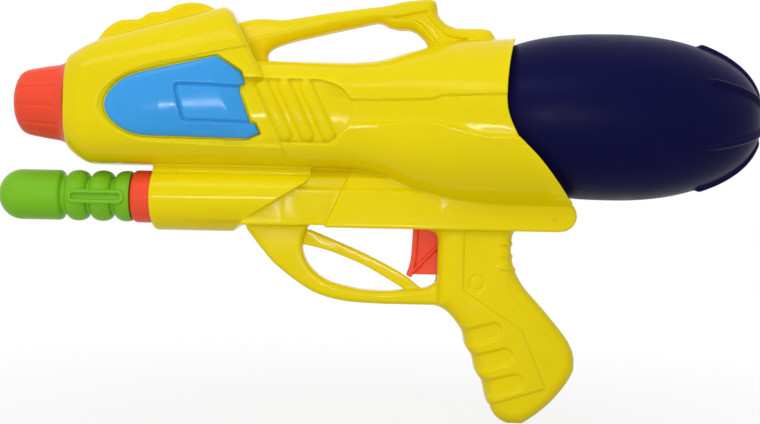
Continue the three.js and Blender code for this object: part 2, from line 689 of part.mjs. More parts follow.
// The trigger hangs from its pin; its upper arm stands behind the valve's plunger.
function triggerShape() {
  const z = (drop) => BEAM_Z - drop;
  return outline([
    [[19.6, z(0)], [19.3, z(6)]],
    [[19.3, z(6)], [18.6, z(14)], [17.4, z(20)], [15.4, z(TRIGGER_DROP - 1)]],
    [[18, z(TRIGGER_DROP)], [36.5, z(TRIGGER_DROP)]],
    [[37.5, z(2)], [32, z(-9)]],
    [[29, VALVE_Z], [27, VALVE_Z + 4]],
    [[PLUNGER_END + PART_GAP + 2, VALVE_Z + 4]],
    [[PLUNGER_END + PART_GAP + 1, VALVE_Z + 3], [PLUNGER_END + PART_GAP, VALVE_Z - 3]],
  ]);
}

// Room the trigger needs in the shell through its whole swing.
function triggerRoomShape() {
  const z = (drop) => BEAM_Z - drop;
  return polygon([
    [16.5, z(-2.5)],
    [18.5, z(12)],
    [14.5, z(TRIGGER_DROP + 2)],
    [46.5, z(TRIGGER_DROP + 5)],
    [44, z(2)],
    [38, z(-10)],
    [32, VALVE_Z + 6],
    [VALVE_END + PART_GAP, VALVE_Z + 6],
    [VALVE_END + PART_GAP, z(-4)],
  ]);
}

function makeTrigger() {
  const body = slab(triggerShape(), TRIGGER_HALF, 0.8);
  const hollow = outline([
    [[22, BEAM_Z - 1], [21.4, BEAM_Z - 8]],
    [[20.6, BEAM_Z - 16], [18.8, BEAM_Z - TRIGGER_DROP + 3]],
    [[34, BEAM_Z - 8], [34, BEAM_Z - 1]],
  ]);
  const web = TRIGGER_HALF - 1.6;
  return cut(body, [
    prism(hollow, web, REACH),
    prism(hollow, -REACH, -web),
    crossRod(-REACH, REACH, PIN_R + RUN_GAP, PIVOT_X, PIVOT_Z),
  ]);
}

function makeNozzle() {
  const x = NOSE_X;
  const wallEnd = x + WALL + PART_GAP;
  const tip = x - NOZZLE_LENGTH;
  return turned(
    [
      [tip, NOZZLE_BORE],
      [tip, NOZZLE_TIP_R],
      [tip + 1.6, NOZZLE_TIP_R + 2.4],
      [tip + 6, NOZZLE_R - 3],
      [tip + 13, NOZZLE_R - 1.1],
      [x - 9, NOZZLE_R],
      [x - 4.4, NOZZLE_R + 1.9],
      [x - PART_GAP, NOSE_R],
      [x - PART_GAP, NOZZLE_NECK_R],
      [wallEnd, NOZZLE_NECK_R],
      [wallEnd, NOZZLE_NECK_R + FLANGE],
      [wallEnd + FLANGE, NOZZLE_NECK_R + FLANGE],
      [wallEnd + FLANGE, JET_R + PART_GAP],
      [wallEnd - 4, JET_R + PART_GAP],
      [wallEnd - 4, NOZZLE_BORE],
      [tip, NOZZLE_BORE],
    ],
    NOZZLE_Z,
    LARGE_SIDES,
  );
}

// The jet sits in the nozzle's rear wall and takes the outlet hose.
function makeJet() {
  const x = NOSE_X + WALL - 3.7;
  const shoulder = x + FLANGE + 4.3;
  return turned(
    [
      [x - 10, JET_BORE],
      [x - 10, 3.2],
      [x - 4, JET_R],
      [shoulder, JET_R],
      [shoulder, JET_R + 2.5],
      [shoulder + 2.5, JET_R + 2.5],
      [shoulder + 2.5, BARB_R],
      [shoulder + 2.5 + BARB_LENGTH, BARB_R],
      [shoulder + 2.5 + BARB_LENGTH, JET_BORE],
      [x - 10, JET_BORE],
    ],
    NOZZLE_Z,
  );
}

const JET_END = NOSE_X + WALL - 3.7 + FLANGE + 4.3 + 2.5;

function sealRing(x, axisZ, bodyR, ringR) {
  const profile = [];
  for (let i = 0; i <= 6; i += 1) {
    const angle = (2 * Math.PI * (i % 6)) / 6;
    profile.push([x + ringR * Math.cos(angle), bodyR + ringR * Math.sin(angle)]);
  }
  return turned(profile, axisZ);
}

function makeCap() {
  return turned(
    [
      [CAP_X, ROD_R + RUN_GAP],
      [CAP_X, CAP_R - 1.2],
      [CAP_X + 1.2, CAP_R],
      [TUBE_X + CAP_SEAT, CAP_R],
      [TUBE_X + CAP_SEAT, CYLINDER_R + PART_GAP],
      [CAP_X + CAP_WALL, CYLINDER_R + PART_GAP],
      [CAP_X + CAP_WALL, ROD_R + RUN_GAP],
      [CAP_X, ROD_R + RUN_GAP],
    ],
    PUMP_Z,
    LARGE_SIDES,
  );
}

function makeCylinder() {
  const portR = 2;
  return turned(
    [
      [CYLINDER_X, CYLINDER_BORE],
      [CYLINDER_X, CYLINDER_R],
      [CYLINDER_END, CYLINDER_R],
      [CYLINDER_END, SPIGOT_R],
      [CYLINDER_END + SPIGOT, SPIGOT_R],
      [CYLINDER_END + SPIGOT, portR],
      [CYLINDER_END - END_WALL, portR],
      [CYLINDER_END - END_WALL, CYLINDER_BORE],
      [CYLINDER_X, CYLINDER_BORE],
    ],
    PUMP_Z,
    20,
  );
}

// Check valve: a cup over the cylinder's spigot with a flap inside and a barb on top.
function makeCheckValve() {
  const end = CHECK_X + CHECK_LENGTH;
  const flapEnd = CYLINDER_END + SPIGOT + 2 * PART_GAP + 1.6;
  const cup = turned(
    [
      [CHECK_X, SPIGOT_R + PART_GAP],
      [CHECK_X, CHECK_R],
      [end, CHECK_R],
      [end, 0],
      [end - 2, 0],
      [end - 2, SPIGOT_R - 1],
      [flapEnd, SPIGOT_R - 1],
      [flapEnd, SPIGOT_R + PART_GAP],
      [CHECK_X, SPIGOT_R + PART_GAP],
    ],
    PUMP_Z,
  );
  const barb = post(CHECK_BARB_X, 0, PUMP_Z + CHECK_R - 1, PUMP_Z + CHECK_R + BARB_LENGTH, BARB_R);
  return cup.add(barb).subtract(post(CHECK_BARB_X, 0, PUMP_Z, PUMP_Z + 40, BARB_BORE));
}

function makeRod() {
  return rod(GRASP_END - GRASP_BORE + PART_GAP, PISTON_X - PART_GAP, ROD_R, 0, PUMP_Z).add(
    rod(PISTON_X - 1, PISTON_END - 2.5, ROD_R - 1.2, 0, PUMP_Z),
  );
}

function makePiston() {
  const r = CYLINDER_BORE - RUN_GAP;
  const grooveR = CYLINDER_BORE - 0.2 - 2 * RING_R - PART_GAP;
  const [groove0, groove1] = [PISTON_X + 3, PISTON_X + 3 + 2 * (RING_R + PART_GAP)];
  return turned(
    [
      [PISTON_X, ROD_R - 1.2 + PART_GAP],
      [PISTON_X, r],
      [groove0, r],
      [groove0, grooveR],
      [groove1, grooveR],
      [groove1, r],
      [PISTON_END, r],
      [PISTON_END, 0],
      [PISTON_END - 2.5 + PART_GAP, 0],
      [PISTON_END - 2.5 + PART_GAP, ROD_R - 1.2 + PART_GAP],
      [PISTON_X, ROD_R - 1.2 + PART_GAP],
    ],
    PUMP_Z,
    20,
  );
}

// The pump's handle: a bullet nose, ribs for the hand and a boss inside for the rod.
function makeGrasp() {
  const tip = GRASP_END - GRASP_LENGTH;
  const profile = [];
  const nose = 13;
  for (let i = 0; i <= 4; i += 1) {
    const angle = (Math.PI / 2) * (i / 4);
    profile.push([tip + nose * (1 - Math.cos(angle)), i === 0 ? 0 : GRASP_R * Math.sin(angle)]);
  }
  const neck = GRASP_END - GRASP_LAST_RIB - (GRASP_RIBS - 0.5) * GRASP_RIB_STEP;
  const lowR = GRASP_R - GRASP_GROOVE;
  profile.push([neck - 3.4, GRASP_R], [neck - 1.8, lowR], [neck + 1.8, lowR]);
  for (let i = 0; i < GRASP_RIBS; i += 1) {
    const middle = neck + GRASP_RIB_STEP * (i + 0.5);
    const groove = middle + GRASP_RIB_STEP / 2;
    profile.push([middle - 3, GRASP_R]);
    if (i < GRASP_RIBS - 1) {
      profile.push([middle + 3, GRASP_R], [groove - 1.8, lowR], [groove + 1.8, lowR]);
    }
  }
  const hollowEnd = GRASP_END - GRASP_BORE - 4;
  const hollowR = lowR - 2.2;
  const bossR = ROD_R + 2.8;
  profile.push(
    [GRASP_END, GRASP_R],
    [GRASP_END, hollowR],
    [hollowEnd, hollowR],
    [hollowEnd, bossR],
    [GRASP_END - 1, bossR],
    [GRASP_END - 1, ROD_R + PART_GAP],
    [GRASP_END - GRASP_BORE, ROD_R + PART_GAP],
    [GRASP_END - GRASP_BORE, 0],
  );
  const body = turned(profile, PUMP_Z, 18);
  const [front, rear, half] = [neck + 4, GRASP_END - 2.3, 3.8];
  const track = (r) =>
    new THREE.Shape()
      .absarc(front + half, PUMP_Z, r, Math.PI / 2, 1.5 * Math.PI)
      .absarc(rear - half, PUMP_Z, r, 1.5 * Math.PI, 2.5 * Math.PI);
  const emboss = track(half);
  emboss.holes.push(track(half - 1.6));
  const proud = GRASP_R + 0.4;
  return joined([body, prism(emboss, -proud, 1.5 - lowR, 2), prism(emboss, lowR - 1.5, proud, 2)]);
}

function makeValveBody() {
  const cup = turned(
    [
      [VALVE_X, 0],
      [VALVE_X, VALVE_R],
      [VALVE_END, VALVE_R],
      [VALVE_END, VALVE_BORE],
      [BORE_X, VALVE_BORE],
      [BORE_X, 0],
    ],
    VALVE_Z,
  );
  const barbs = [OUTLET_X, INLET_X].map((x) => post(x, 0, VALVE_Z + VALVE_R - 1.5, BARB_TOP, BARB_R));
  const bores = [OUTLET_X, INLET_X].map((x) => post(x, 0, VALVE_Z, BARB_TOP + 1, BARB_BORE));
  return cut(joined([cup, ...barbs]), bores);
}

function makePlunger() {
  const r = VALVE_BORE - RUN_GAP;
  const seat = PLUNGER_X + 5;
  return turned(
    [
      [PLUNGER_X, 0],
      [PLUNGER_X, r],
      [seat, r],
      [seat, r - 1.7],
      [seat + 2.2, r - 1.7],
      [seat + 2.2, r],
      [PLUNGER_END - 1, r],
      [PLUNGER_END, r - 1],
      [PLUNGER_END, 0],
    ],
    VALVE_Z,
  );
}

function makeValveSpring() {
  const turns = 4;
  const section = Array.from({ length: 5 }, (unused, i) => {
    const angle = (2 * Math.PI * i) / 5;
    return [SPRING_WIRE * Math.sin(angle), SPRING_WIRE * Math.cos(angle)];
  });
  const x = BORE_X + PART_GAP + SPRING_WIRE;
  const pitch = (SPRING_LENGTH - 2 * SPRING_WIRE) / turns;
  return coil(section.reverse(), x, VALVE_Z, VALVE_BORE - RUN_GAP - SPRING_WIRE - 0.4, pitch, turns, 0, 9);
}

// A thread ridge on a cylinder about the tank's axis; out is +1 on the neck and -1 in the socket.
function threadRidge(x, radius, out) {
  const [base, crest] = [0.85, 0.4];
  const root = -0.3 * out;
  const tip = THREAD_HEIGHT * out;
  const section = [[-base, root], [base, root], [crest, tip], [-crest, tip]];
  if (out < 0) section.reverse();
  return coil(section, x, TANK_Z, radius, THREAD_PITCH, THREAD_TURNS, 0, 16);
}

const THREAD_X = NECK_X + 3;

function makeTank() {
  const count = 12;
  const outer = tankProfile(0, count).filter(([x, r]) => r > NECK_R || x > BELLY_X);
  const inner = tankProfile(-TANK_WALL, count).filter(([x, r]) => r > NECK_R - NECK_WALL || x > BELLY_X);
  const neck = [[NECK_X, NECK_R], [outer[0][0] - 1.5, NECK_R]];
  const bore = [[inner[0][0] - 0.5, NECK_R - NECK_WALL], [NECK_X, NECK_R - NECK_WALL]];
  const body = turned([...neck, ...outer, ...inner.reverse(), ...bore, neck[0]], TANK_Z, LARGE_SIDES);

  const ribStart = BELLY_X + TANK_TAIL * 0.56;
  const ribEnd = BELLY_X + TANK_TAIL * 0.985;
  const high = [];
  const low = [];
  for (let i = 0; i <= 8; i += 1) {
    const x = ribStart + (ribEnd - ribStart) * Math.sin((Math.PI / 2) * (i / 8));
    const ramp = Math.min(1, i / 2);
    high.push([x + 0.5 * TANK_RIB * ramp * (i / 8), tankRadius(x, 0) - 0.5 + (TANK_RIB + 0.5) * ramp]);
    low.push([x - 1, tankRadius(x, 0) - 1.2]);
  }
  const fin = polygon([...high, ...low.reverse()]);
  const ribs = Array.from({ length: TANK_RIBS }, (unused, i) => {
    const made = new THREE.ExtrudeGeometry(fin, { depth: TANK_RIB_WIDTH, bevelEnabled: false });
    made.translate(0, 0, -TANK_RIB_WIDTH / 2).rotateX(Math.PI / 2);
    const turn = (2 * Math.PI * i) / TANK_RIBS - Math.PI / 2;
    return solid(made.rotateX(turn).translate(0, 0, TANK_Z));
  });
  return joined([body, threadRidge(THREAD_X, NECK_R, 1), ...ribs]);
}

function makeSocket() {
  const cup = turned(
    [
      [SOCKET_X, 0],
      [SOCKET_X, FLANGE_R],
      [SOCKET_X + FLANGE, FLANGE_R],
      [SOCKET_X + FLANGE, SOCKET_R],
      [SOCKET_X + SOCKET_BASE + SOCKET_DEPTH, SOCKET_R],
      [SOCKET_X + SOCKET_BASE + SOCKET_DEPTH, SOCKET_BORE],
      [SOCKET_X + SOCKET_BASE, SOCKET_BORE],
      [SOCKET_X + SOCKET_BASE, 0],
    ],
    TANK_Z,
    LARGE_SIDES,
  );
  const ports = [WATER_PORT, AIR_PORT];
  const barbs = ports.map(([y, z]) => rod(SOCKET_X - BARB_LENGTH, SOCKET_X + 1, BARB_R, y, z));
  const spigot = rod(SOCKET_X + 1, SOCKET_X + SOCKET_BASE + BARB_LENGTH, BARB_R, ...WATER_PORT);
  const ridge = threadRidge(THREAD_X + THREAD_PITCH / 2, SOCKET_BORE, -1);
  const bores = ports.map(([y, z]) => rod(SOCKET_X - 20, SOCKET_X + 30, BARB_BORE, y, z, 12));
  return cut(joined([cup, ...barbs, spigot, ridge]), bores);
}

function makePickup() {
  const x = SOCKET_X + SOCKET_BASE + PART_GAP;
  const [y, z] = WATER_PORT;
  const floor = TANK_Z - TANK_R + TANK_WALL + 8;
  return hose(
    [
      [x, y, z],
      [x + 8, y, z],
      [x + 24, y, z],
      [x + 50, y, z - 10],
      [x + 74, y, floor + 2],
      [x + 92, y, floor],
      [x + 100, y, floor],
    ],
    HOSE_R,
    HOSE_BORE,
    12,
  );
}

// The filter caps the pickup tube's end: a cup with a round plug in the tube.
function makeFilter() {
  const x = SOCKET_X + SOCKET_BASE + PART_GAP + 100;
  const z = TANK_Z - TANK_R + TANK_WALL + 8;
  const profile = [
    [x + PART_GAP, BARB_BORE],
    [x + PART_GAP, HOSE_R + 1.2],
    [x + 11, HOSE_R + 1.2],
    [x + 12.5, HOSE_R],
    [x + 12.5, 0],
    [x + 10.5, 0],
    [x + 10.5, HOSE_R - 0.4],
    [x + 2, HOSE_R - 0.4],
    [x + 2, BARB_BORE],
    [x + PART_GAP, BARB_BORE],
  ];
  const slots = [0, 1].flatMap((i) => {
    const [x0, x1] = [x + 3.5 + 3.4 * i, x + 5 + 3.4 * i];
    return [block(x0, x1, -REACH, REACH, z - 1.4, z + 1.4)];
  });
  return cut(turned(profile, z, 16), slots);
}

function makeScrew(x, z) {
  const seat = SCREW_SEAT + PART_GAP;
  const shank = crossRod(seat - SCREW_LENGTH, seat + 0.5, SCREW_R, x, z, 8);
  const head = crossRod(seat, seat + SCREW_HEAD, SCREW_HEAD_R, x, z, 12);
  const top = seat + SCREW_HEAD;
  const cross = [
    block(x - 1.9, x + 1.9, top - 1, top + 1, z - 0.4, z + 0.4),
    block(x - 0.4, x + 0.4, top - 1, top + 1, z - 1.9, z + 1.9),
  ];
  return cut(joined([shank, head]), cross);
}

// Materials as seen in the picture, or as such a piece is made
function plastic(color, roughness) {
  return new THREE.MeshStandardMaterial({ color, roughness, metalness: 0 });
}

const YELLOW = plastic(0xe8d810, 0.3);
const ORANGE = plastic(0xff4b2b, 0.35);
const BLUE = plastic(0x3f9fe8, 0.35);
const GREEN = plastic(0x6fba1e, 0.35);
const NAVY = plastic(0x1f1c55, 0.45);
const WHITE = plastic(0xe9e7e0, 0.45);
const BLACK = plastic(0x202022, 0.7);
const CLEAR = plastic(0xd9dcd6, 0.25);
const STEEL = new THREE.MeshStandardMaterial({ color: 0xb9bcc0, roughness: 0.35, metalness: 1 });

const part = new THREE.Group();

function add(name, made, material) {
  const data = made.getMesh();
  const geometry = new THREE.BufferGeometry();
  geometry.setAttribute("position", new THREE.BufferAttribute(new Float32Array(data.vertProperties), 3));
  geometry.setIndex(new THREE.BufferAttribute(new Uint32Array(data.triVerts), 1));
  geometry.computeVertexNormals();
  const mesh = new THREE.Mesh(geometry, material);
  mesh.name = name;
  part.add(mesh);
}

const shell = makeShell();
const halfGap = PARTING_GAP / 2;
add("left_shell", shell.intersect(block(-FAR, FAR, -REACH, -halfGap, -1, FAR)), YELLOW);
add("right_shell", shell.intersect(block(-FAR, FAR, halfGap, REACH, -1, FAR)), YELLOW);
add("left_side_panel", makePanel(-1), BLUE);
add("right_side_panel", makePanel(1), BLUE);
add("nozzle_cap", makeNozzle(), ORANGE);
add("nozzle_jet", makeJet(), WHITE);
add("outlet_hose", hose(
  [
    [JET_END + PART_GAP, 0, NOZZLE_Z],
    [JET_END + 25, 0, NOZZLE_Z],
    [-90, -3, NOZZLE_Z],
    [-45, -8, NOZZLE_Z - 4],
    [OUTLET_X - 14, -6, NOZZLE_Z - 12],
    [OUTLET_X - 3, -1, BARB_TOP + 13],
    [OUTLET_X, 0, BARB_TOP + 5],
    [OUTLET_X, 0, BARB_TOP - 3],
    [OUTLET_X, 0, BARB_TOP - BARB_LENGTH + 1.5],
  ], HOSE_R, HOSE_BORE, 24), CLEAR);
add("valve_body", makeValveBody(), WHITE);
add("valve_plunger", makePlunger(), WHITE);
add("valve_seal", sealRing(PLUNGER_X + 6.1, VALVE_Z, VALVE_BORE - 1.1, 0.8), BLACK);
add("valve_spring", makeValveSpring(), STEEL);
add("trigger", makeTrigger(), ORANGE);
add("trigger_pin", crossRod(2 * WALL - BEAM_HALF, BEAM_HALF - 2 * WALL, PIN_R, PIVOT_X, PIVOT_Z), STEEL);
add("feed_hose", hose(
  [
    [SOCKET_X - PART_GAP, ...WATER_PORT],
    [SOCKET_X - 7, ...WATER_PORT],
    [INLET_X + 4, 0, WATER_PORT[1] - 2],
    [INLET_X - 1, 0, (WATER_PORT[1] + BARB_TOP) / 2 + 1],
    [INLET_X, 0, BARB_TOP - 1],
    [INLET_X, 0, BARB_TOP - BARB_LENGTH + 1.5],
  ], HOSE_R, HOSE_BORE, 11), CLEAR);
add("tank_socket", makeSocket(), WHITE);
add("tank_gasket", turned(
  [
    [GASKET_X, NECK_R - NECK_WALL],
    [GASKET_X, NECK_R],
    [GASKET_X + GASKET, NECK_R],
    [GASKET_X + GASKET, NECK_R - NECK_WALL],
    [GASKET_X, NECK_R - NECK_WALL],
  ], TANK_Z, 20), BLACK);
add("tank", makeTank(), NAVY);
add("pickup_tube", makePickup(), CLEAR);
add("intake_filter", makeFilter(), WHITE);
add("air_hose", hose(
  [
    [CHECK_BARB_X, 0, PUMP_Z + CHECK_R + 0.6],
    [CHECK_BARB_X, 0, PUMP_Z + CHECK_R + BARB_LENGTH],
    [CHECK_BARB_X + 1, 4, NOZZLE_Z - 24],
    [CHECK_BARB_X + 12, 12, NOZZLE_Z - 4],
    [-8, 12, AIR_PORT[1] + 1],
    [SOCKET_X - BARB_LENGTH - 1, ...AIR_PORT],
    [SOCKET_X - 4, ...AIR_PORT],
    [SOCKET_X - PART_GAP, ...AIR_PORT],
  ], HOSE_R, HOSE_BORE, 16), CLEAR);
add("pump_cylinder", makeCylinder(), WHITE);
add("pump_end_cap", makeCap(), ORANGE);
add("pump_rod", makeRod(), WHITE);
add("piston", makePiston(), WHITE);
add("piston_seal", sealRing(PISTON_X + 3 + RING_R + PART_GAP, PUMP_Z, CYLINDER_BORE - 0.2 - RING_R, RING_R), BLACK);
add("pump_handle", makeGrasp(), GREEN);
add("check_valve_body", makeCheckValve(), WHITE);
add("check_valve_flap", turned(
  [
    [CYLINDER_END + SPIGOT + PART_GAP, 0],
    [CYLINDER_END + SPIGOT + PART_GAP, SPIGOT_R],
    [CYLINDER_END + SPIGOT + PART_GAP + 1.6, SPIGOT_R],
    [CYLINDER_END + SPIGOT + PART_GAP + 1.6, 0],
  ], PUMP_Z), BLACK);
SCREWS.forEach(([x, z], i) => add(`shell_screw_${i + 1}`, makeScrew(x, z), STEEL));

export default part;
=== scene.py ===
# Looks of the pump water squirter: moulded shell halves, side panels, nozzle, hand pump, trigger and tank.
# Shapes are worked out in millimetres and written in metres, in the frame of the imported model.
import json
import math

import bpy
import numpy as np
from mathutils import Matrix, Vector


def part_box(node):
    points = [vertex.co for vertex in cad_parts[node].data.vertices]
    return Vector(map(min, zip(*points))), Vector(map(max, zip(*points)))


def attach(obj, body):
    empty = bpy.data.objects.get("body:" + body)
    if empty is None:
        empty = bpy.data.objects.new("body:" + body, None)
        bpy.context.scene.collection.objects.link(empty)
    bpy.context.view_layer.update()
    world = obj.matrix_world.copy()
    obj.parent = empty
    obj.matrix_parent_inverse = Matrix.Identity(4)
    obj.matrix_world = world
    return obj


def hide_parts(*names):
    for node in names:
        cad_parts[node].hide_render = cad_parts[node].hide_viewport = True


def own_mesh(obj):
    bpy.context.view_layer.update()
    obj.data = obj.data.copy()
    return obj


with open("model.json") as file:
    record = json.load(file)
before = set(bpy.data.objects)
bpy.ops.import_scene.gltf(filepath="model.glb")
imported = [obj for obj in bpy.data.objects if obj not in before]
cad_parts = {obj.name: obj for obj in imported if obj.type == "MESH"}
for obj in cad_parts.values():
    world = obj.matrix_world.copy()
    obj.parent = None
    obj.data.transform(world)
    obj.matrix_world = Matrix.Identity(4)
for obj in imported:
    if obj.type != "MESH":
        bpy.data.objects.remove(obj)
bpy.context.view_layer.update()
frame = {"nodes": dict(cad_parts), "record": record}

MM = 0.001
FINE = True
F32 = np.float32

# Sizes of the part, in millimetres
WALL = 2.2
GAP = 0.3  # between pieces that fit together
SEAM = 0.45  # depth of the groove where the shell halves meet
SEAM_HALF = 0.7
BEAM_Z = 107.0
PUMP_Z = 122.5
NOZZLE_Z = 174.0
TANK_Z = 172.0
NOSE_X = -173.0
NOSE_R = 25.4
SHOULDER = 15.0
TOP_SHOULDER = 22.0
HOOD_RISE = 34.8
HOOD_DROP = 34.0
HOOD_SLOPE = math.radians(15.6)
HOOD_LENGTH = 88.5
HOOD_LEAN = math.radians(27.5)
HOOD_HALF = 33.5
PANEL_PROUD = 0.6
HOOD_REAR_X = NOSE_X + HOOD_LENGTH
HOOD_TOP = NOZZLE_Z + HOOD_RISE + math.tan(HOOD_SLOPE) * (HOOD_LENGTH - SHOULDER)
BEAM_FRONT_X = -30.0
BEAM_REAR_X = 109.0
TUBE_X = -126.0
TUBE_R = 18.4
CAP_X = -137.2
CAP_R = 14.6
CYLINDER_R = 12.4
CYLINDER_END = -50.7
ROD_R = 3.6
HANDLE_END = -137.5
HANDLE_TIP = -212.0
HANDLE_R = 14.0
TANK_R = 46.3
BELLY_X = 129.0
TANK_FRONT = 85.0
TANK_TAIL = 83.0
FRONT_POWER = 2.5
TAIL_POWER = 2.2
TANK_WALL = 2.0
NECK_R = 16.0
NECK_X = 30.6
SOCKET_X = 24.0
SOCKET_R = 20.0
VALVE_X = -12.0
VALVE_Z = 124.5
VALVE_R = 7.5
VALVE_END = 15.0
PIVOT = (26.0, 113.5)
TRIGGER_HALF = 5.2
SCREW_SEAT = 5.0
SCREW_HEAD_R = 3.2
SCREWS = [
    (-152, 156), (-104, 212), (-68.5, 213), (-62, 151), (48, 208),
    (97.5, 113.8), (54.8, 78.8), (92, 27), (-56, 97),
]


# A block of space cut into even steps, in which a shape is a field: negative inside, in millimetres.
class Block:
    def __init__(self, low, high, step):
        self.low = np.array(low, float)
        self.step = step
        sizes = [int(math.ceil((h - l) / step)) + 1 for l, h in zip(low, high)]
        x, y, z = [(l + step * np.arange(n)).astype(F32) for l, n in zip(low, sizes)]
        self.x = x[:, None, None]
        self.y = y[None, :, None]
        self.z = z[None, None, :]


def smin(a, b, soft):
    """The lower of two fields, so both shapes together, with the join between them rounded."""
    h = np.clip(0.5 + (b - a) * (0.5 / soft), 0, 1)
    return b + (a - b) * h - soft * h * (1 - h)


def smax(a, b, soft):
    return -smin(-a, -b, soft)


def step_up(value, width):
    """0 rising to 1 over a width round value 0."""
    t = np.clip(value * (1 / width) + 0.5, 0, 1)
    return t * t * (3 - 2 * t)


def sunk(inside, depth, width):
    """How far a skin is to sink: to a depth where inside is positive, past an edge of some width."""
    return depth * step_up(inside, width)


CURVE_STEPS = 6  # between two points of a curved run


def outline(*runs):
    """A closed path of straight and curved runs of (x, z): a run is curved if it has over two points."""
    path = []
    for run in runs:
        p = np.array(run, float)
        if len(p) < 3:
            path.extend(p)
            continue
        q = np.vstack([p[:1], p, p[-1:]])
        t = np.linspace(0, 1, CURVE_STEPS, endpoint=False)[:, None]
        for a, b, c, d in zip(q, q[1:], q[2:], q[3:]):
            path.extend(0.5 * (2 * b + (c - a) * t + (2 * a - 5 * b + 4 * c - d) * t ** 2
                               + (3 * b - a - 3 * c + d) * t ** 3))
        path.append(p[-1])
    return np.array(path)


def polygon_distance(u, v, path):
    best = np.full(np.broadcast(u, v).shape, 1e9, F32)
    odd = np.zeros(best.shape, bool)
    for (au, av), (bu, bv) in zip(path, np.roll(path, -1, axis=0)):
        eu, ev = F32(bu - au), F32(bv - av)
        long = eu * eu + ev * ev
        if long < 1e-9:
            continue
        wu, wv = u - F32(au), v - F32(av)
        t = np.clip((wu * eu + wv * ev) / long, 0, 1)
        np.minimum(best, (wu - t * eu) ** 2 + (wv - t * ev) ** 2, out=best)
        if abs(ev) > 1e-9:
            odd ^= ((F32(av) > v) != (F32(bv) > v)) & (wu < wv * (eu / ev))
    best = np.sqrt(best)
    return np.where(odd, -best, best)


def side_view(b, path):
    """Distance to a side-view path, for every place across the part."""
    return polygon_distance(b.x, b.z, path)


def end_view(b, path):
    return polygon_distance(np.abs(b.y), b.z, np.array(path, float))


def segment(b, start, end):
    (ax, az), (bx, bz) = start, end
    ex, ez = bx - ax, bz - az
    t = np.clip(((b.x - ax) * ex + (b.z - az) * ez) / (ex * ex + ez * ez), 0, 1)
    return np.hypot(b.x - ax - t * ex, b.z - az - t * ez)


def slab(b, flat, half, edge):
    """A side-view shape given thickness across Y, its edges rounded."""
    p = flat + edge
    q = np.abs(b.y) - (half - edge)
    return np.minimum(np.maximum(p, q), 0) + np.hypot(np.maximum(p, 0), np.maximum(q, 0)) - edge


def round_x(b, z, radius):
    return np.hypot(b.y, b.z - z) - radius


def round_y(b, x, z, radius):
    return np.hypot(b.x - x, b.z - z) - radius


def between(value, low, high):
    return np.maximum(low - value, value - high)


def oval(b, top, bottom, half, power):
    """Section across X that gets squarer as the power grows, as a distance near the skin."""
    rise = (top - bottom) / 2
    p = np.abs(b.y) / half + 1e-4
    q = np.abs(b.z - (top + bottom) / 2) / rise + 1e-4
    s = (p ** power + q ** power) ** (1 / power)
    slope = s ** (1 - power) * np.hypot(p ** (power - 1) / half, q ** (power - 1) / rise)
    return (s - 1) / slope


def smooth_run(x, places, values):
    """A smooth run through values at places, without overshoot."""
    places = np.array(places, float)
    values = np.array(values, float)
    h = np.diff(places)
    chord = np.diff(values) / h
    slope = np.zeros(len(values))
    slope[0], slope[-1] = chord[0], chord[-1]
    for i in range(1, len(values) - 1):
        if chord[i - 1] * chord[i] > 0:
            slope[i] = 2 / (1 / chord[i - 1] + 1 / chord[i])
    at = np.clip(x.ravel().astype(float), places[0], places[-1])
    i = np.clip(np.searchsorted(places, at, side="right") - 1, 0, len(h) - 1)
    t = (at - places[i]) / h[i]
    made = ((1 + 2 * t) * (1 - t) ** 2 * values[i] + t * (1 - t) ** 2 * h[i] * slope[i]
            + t * t * (3 - 2 * t) * values[i + 1] + t * t * (t - 1) * h[i] * slope[i + 1])
    return made.astype(F32).reshape(x.shape)


# Meshes from fields: one point in each cell that the skin crosses, and a quad for each crossed edge.
CORNERS = np.array([(i, j, k) for i in (0, 1) for j in (0, 1) for k in (0, 1)])
CELL_EDGES = [(a, c) for a in range(8) for c in range(a + 1, 8) if abs(CORNERS[a] - CORNERS[c]).sum() == 1]


def skin(b, field):
    inside = field < 0
    n = np.array(field.shape) - 1
    count = np.zeros(n, np.uint8)
    for i, j, k in CORNERS:
        count += inside[i:i + n[0], j:j + n[1], k:k + n[2]]
    cells = np.argwhere((count > 0) & (count < 8))
    values = np.stack([field[tuple((cells + c).T)] for c in CORNERS], 1)
    total = np.zeros((len(cells), 3))
    crossings = np.zeros(len(cells))
    for a, c in CELL_EDGES:
        va, vc = values[:, a], values[:, c]
        crossed = (va < 0) != (vc < 0)
        t = np.where(crossed, va / np.where(crossed, va - vc, 1), 0)
        total += crossed[:, None] * (CORNERS[a] + t[:, None] * (CORNERS[c] - CORNERS[a]))
        crossings += crossed
    points = cells + total / crossings[:, None]
    ids = np.full(n, -1, np.int32)
    ids[tuple(cells.T)] = np.arange(len(cells))
    quads = []
    for axis in range(3):
        u, v = [(1, 2), (2, 0), (0, 1)][axis]
        lower = inside[tuple(slice(0, -1) if k == axis else slice(1, -1) for k in range(3))]
        upper = inside[tuple(slice(1, None) if k == axis else slice(1, -1) for k in range(3))]
        at = np.argwhere(lower != upper)
        out = lower[tuple(at.T)]
        at[:, u] += 1
        at[:, v] += 1
        ring = []
        for du, dv in ((-1, -1), (0, -1), (0, 0), (-1, 0)):
            cell = at.copy()
            cell[:, u] += du
            cell[:, v] += dv
            ring.append(ids[tuple(cell.T)])
        ring = np.stack(ring, 1)
        ring[~out] = ring[~out][:, ::-1]
        quads.append(ring)
    return b.low + points * b.step, np.concatenate(quads)


def sample(b, field, points):
    at = np.clip((points - b.low) / b.step, 0, np.array(field.shape) - 1.001)
    i = at.astype(np.int32)
    t = at - i
    total = np.zeros(len(points))
    for c in CORNERS:
        weight = np.prod(np.where(c, t, 1 - t), axis=1)
        total += weight * field[tuple((i + c).T)]
    return total


SLOPE_REACH = 0.6  # of a step


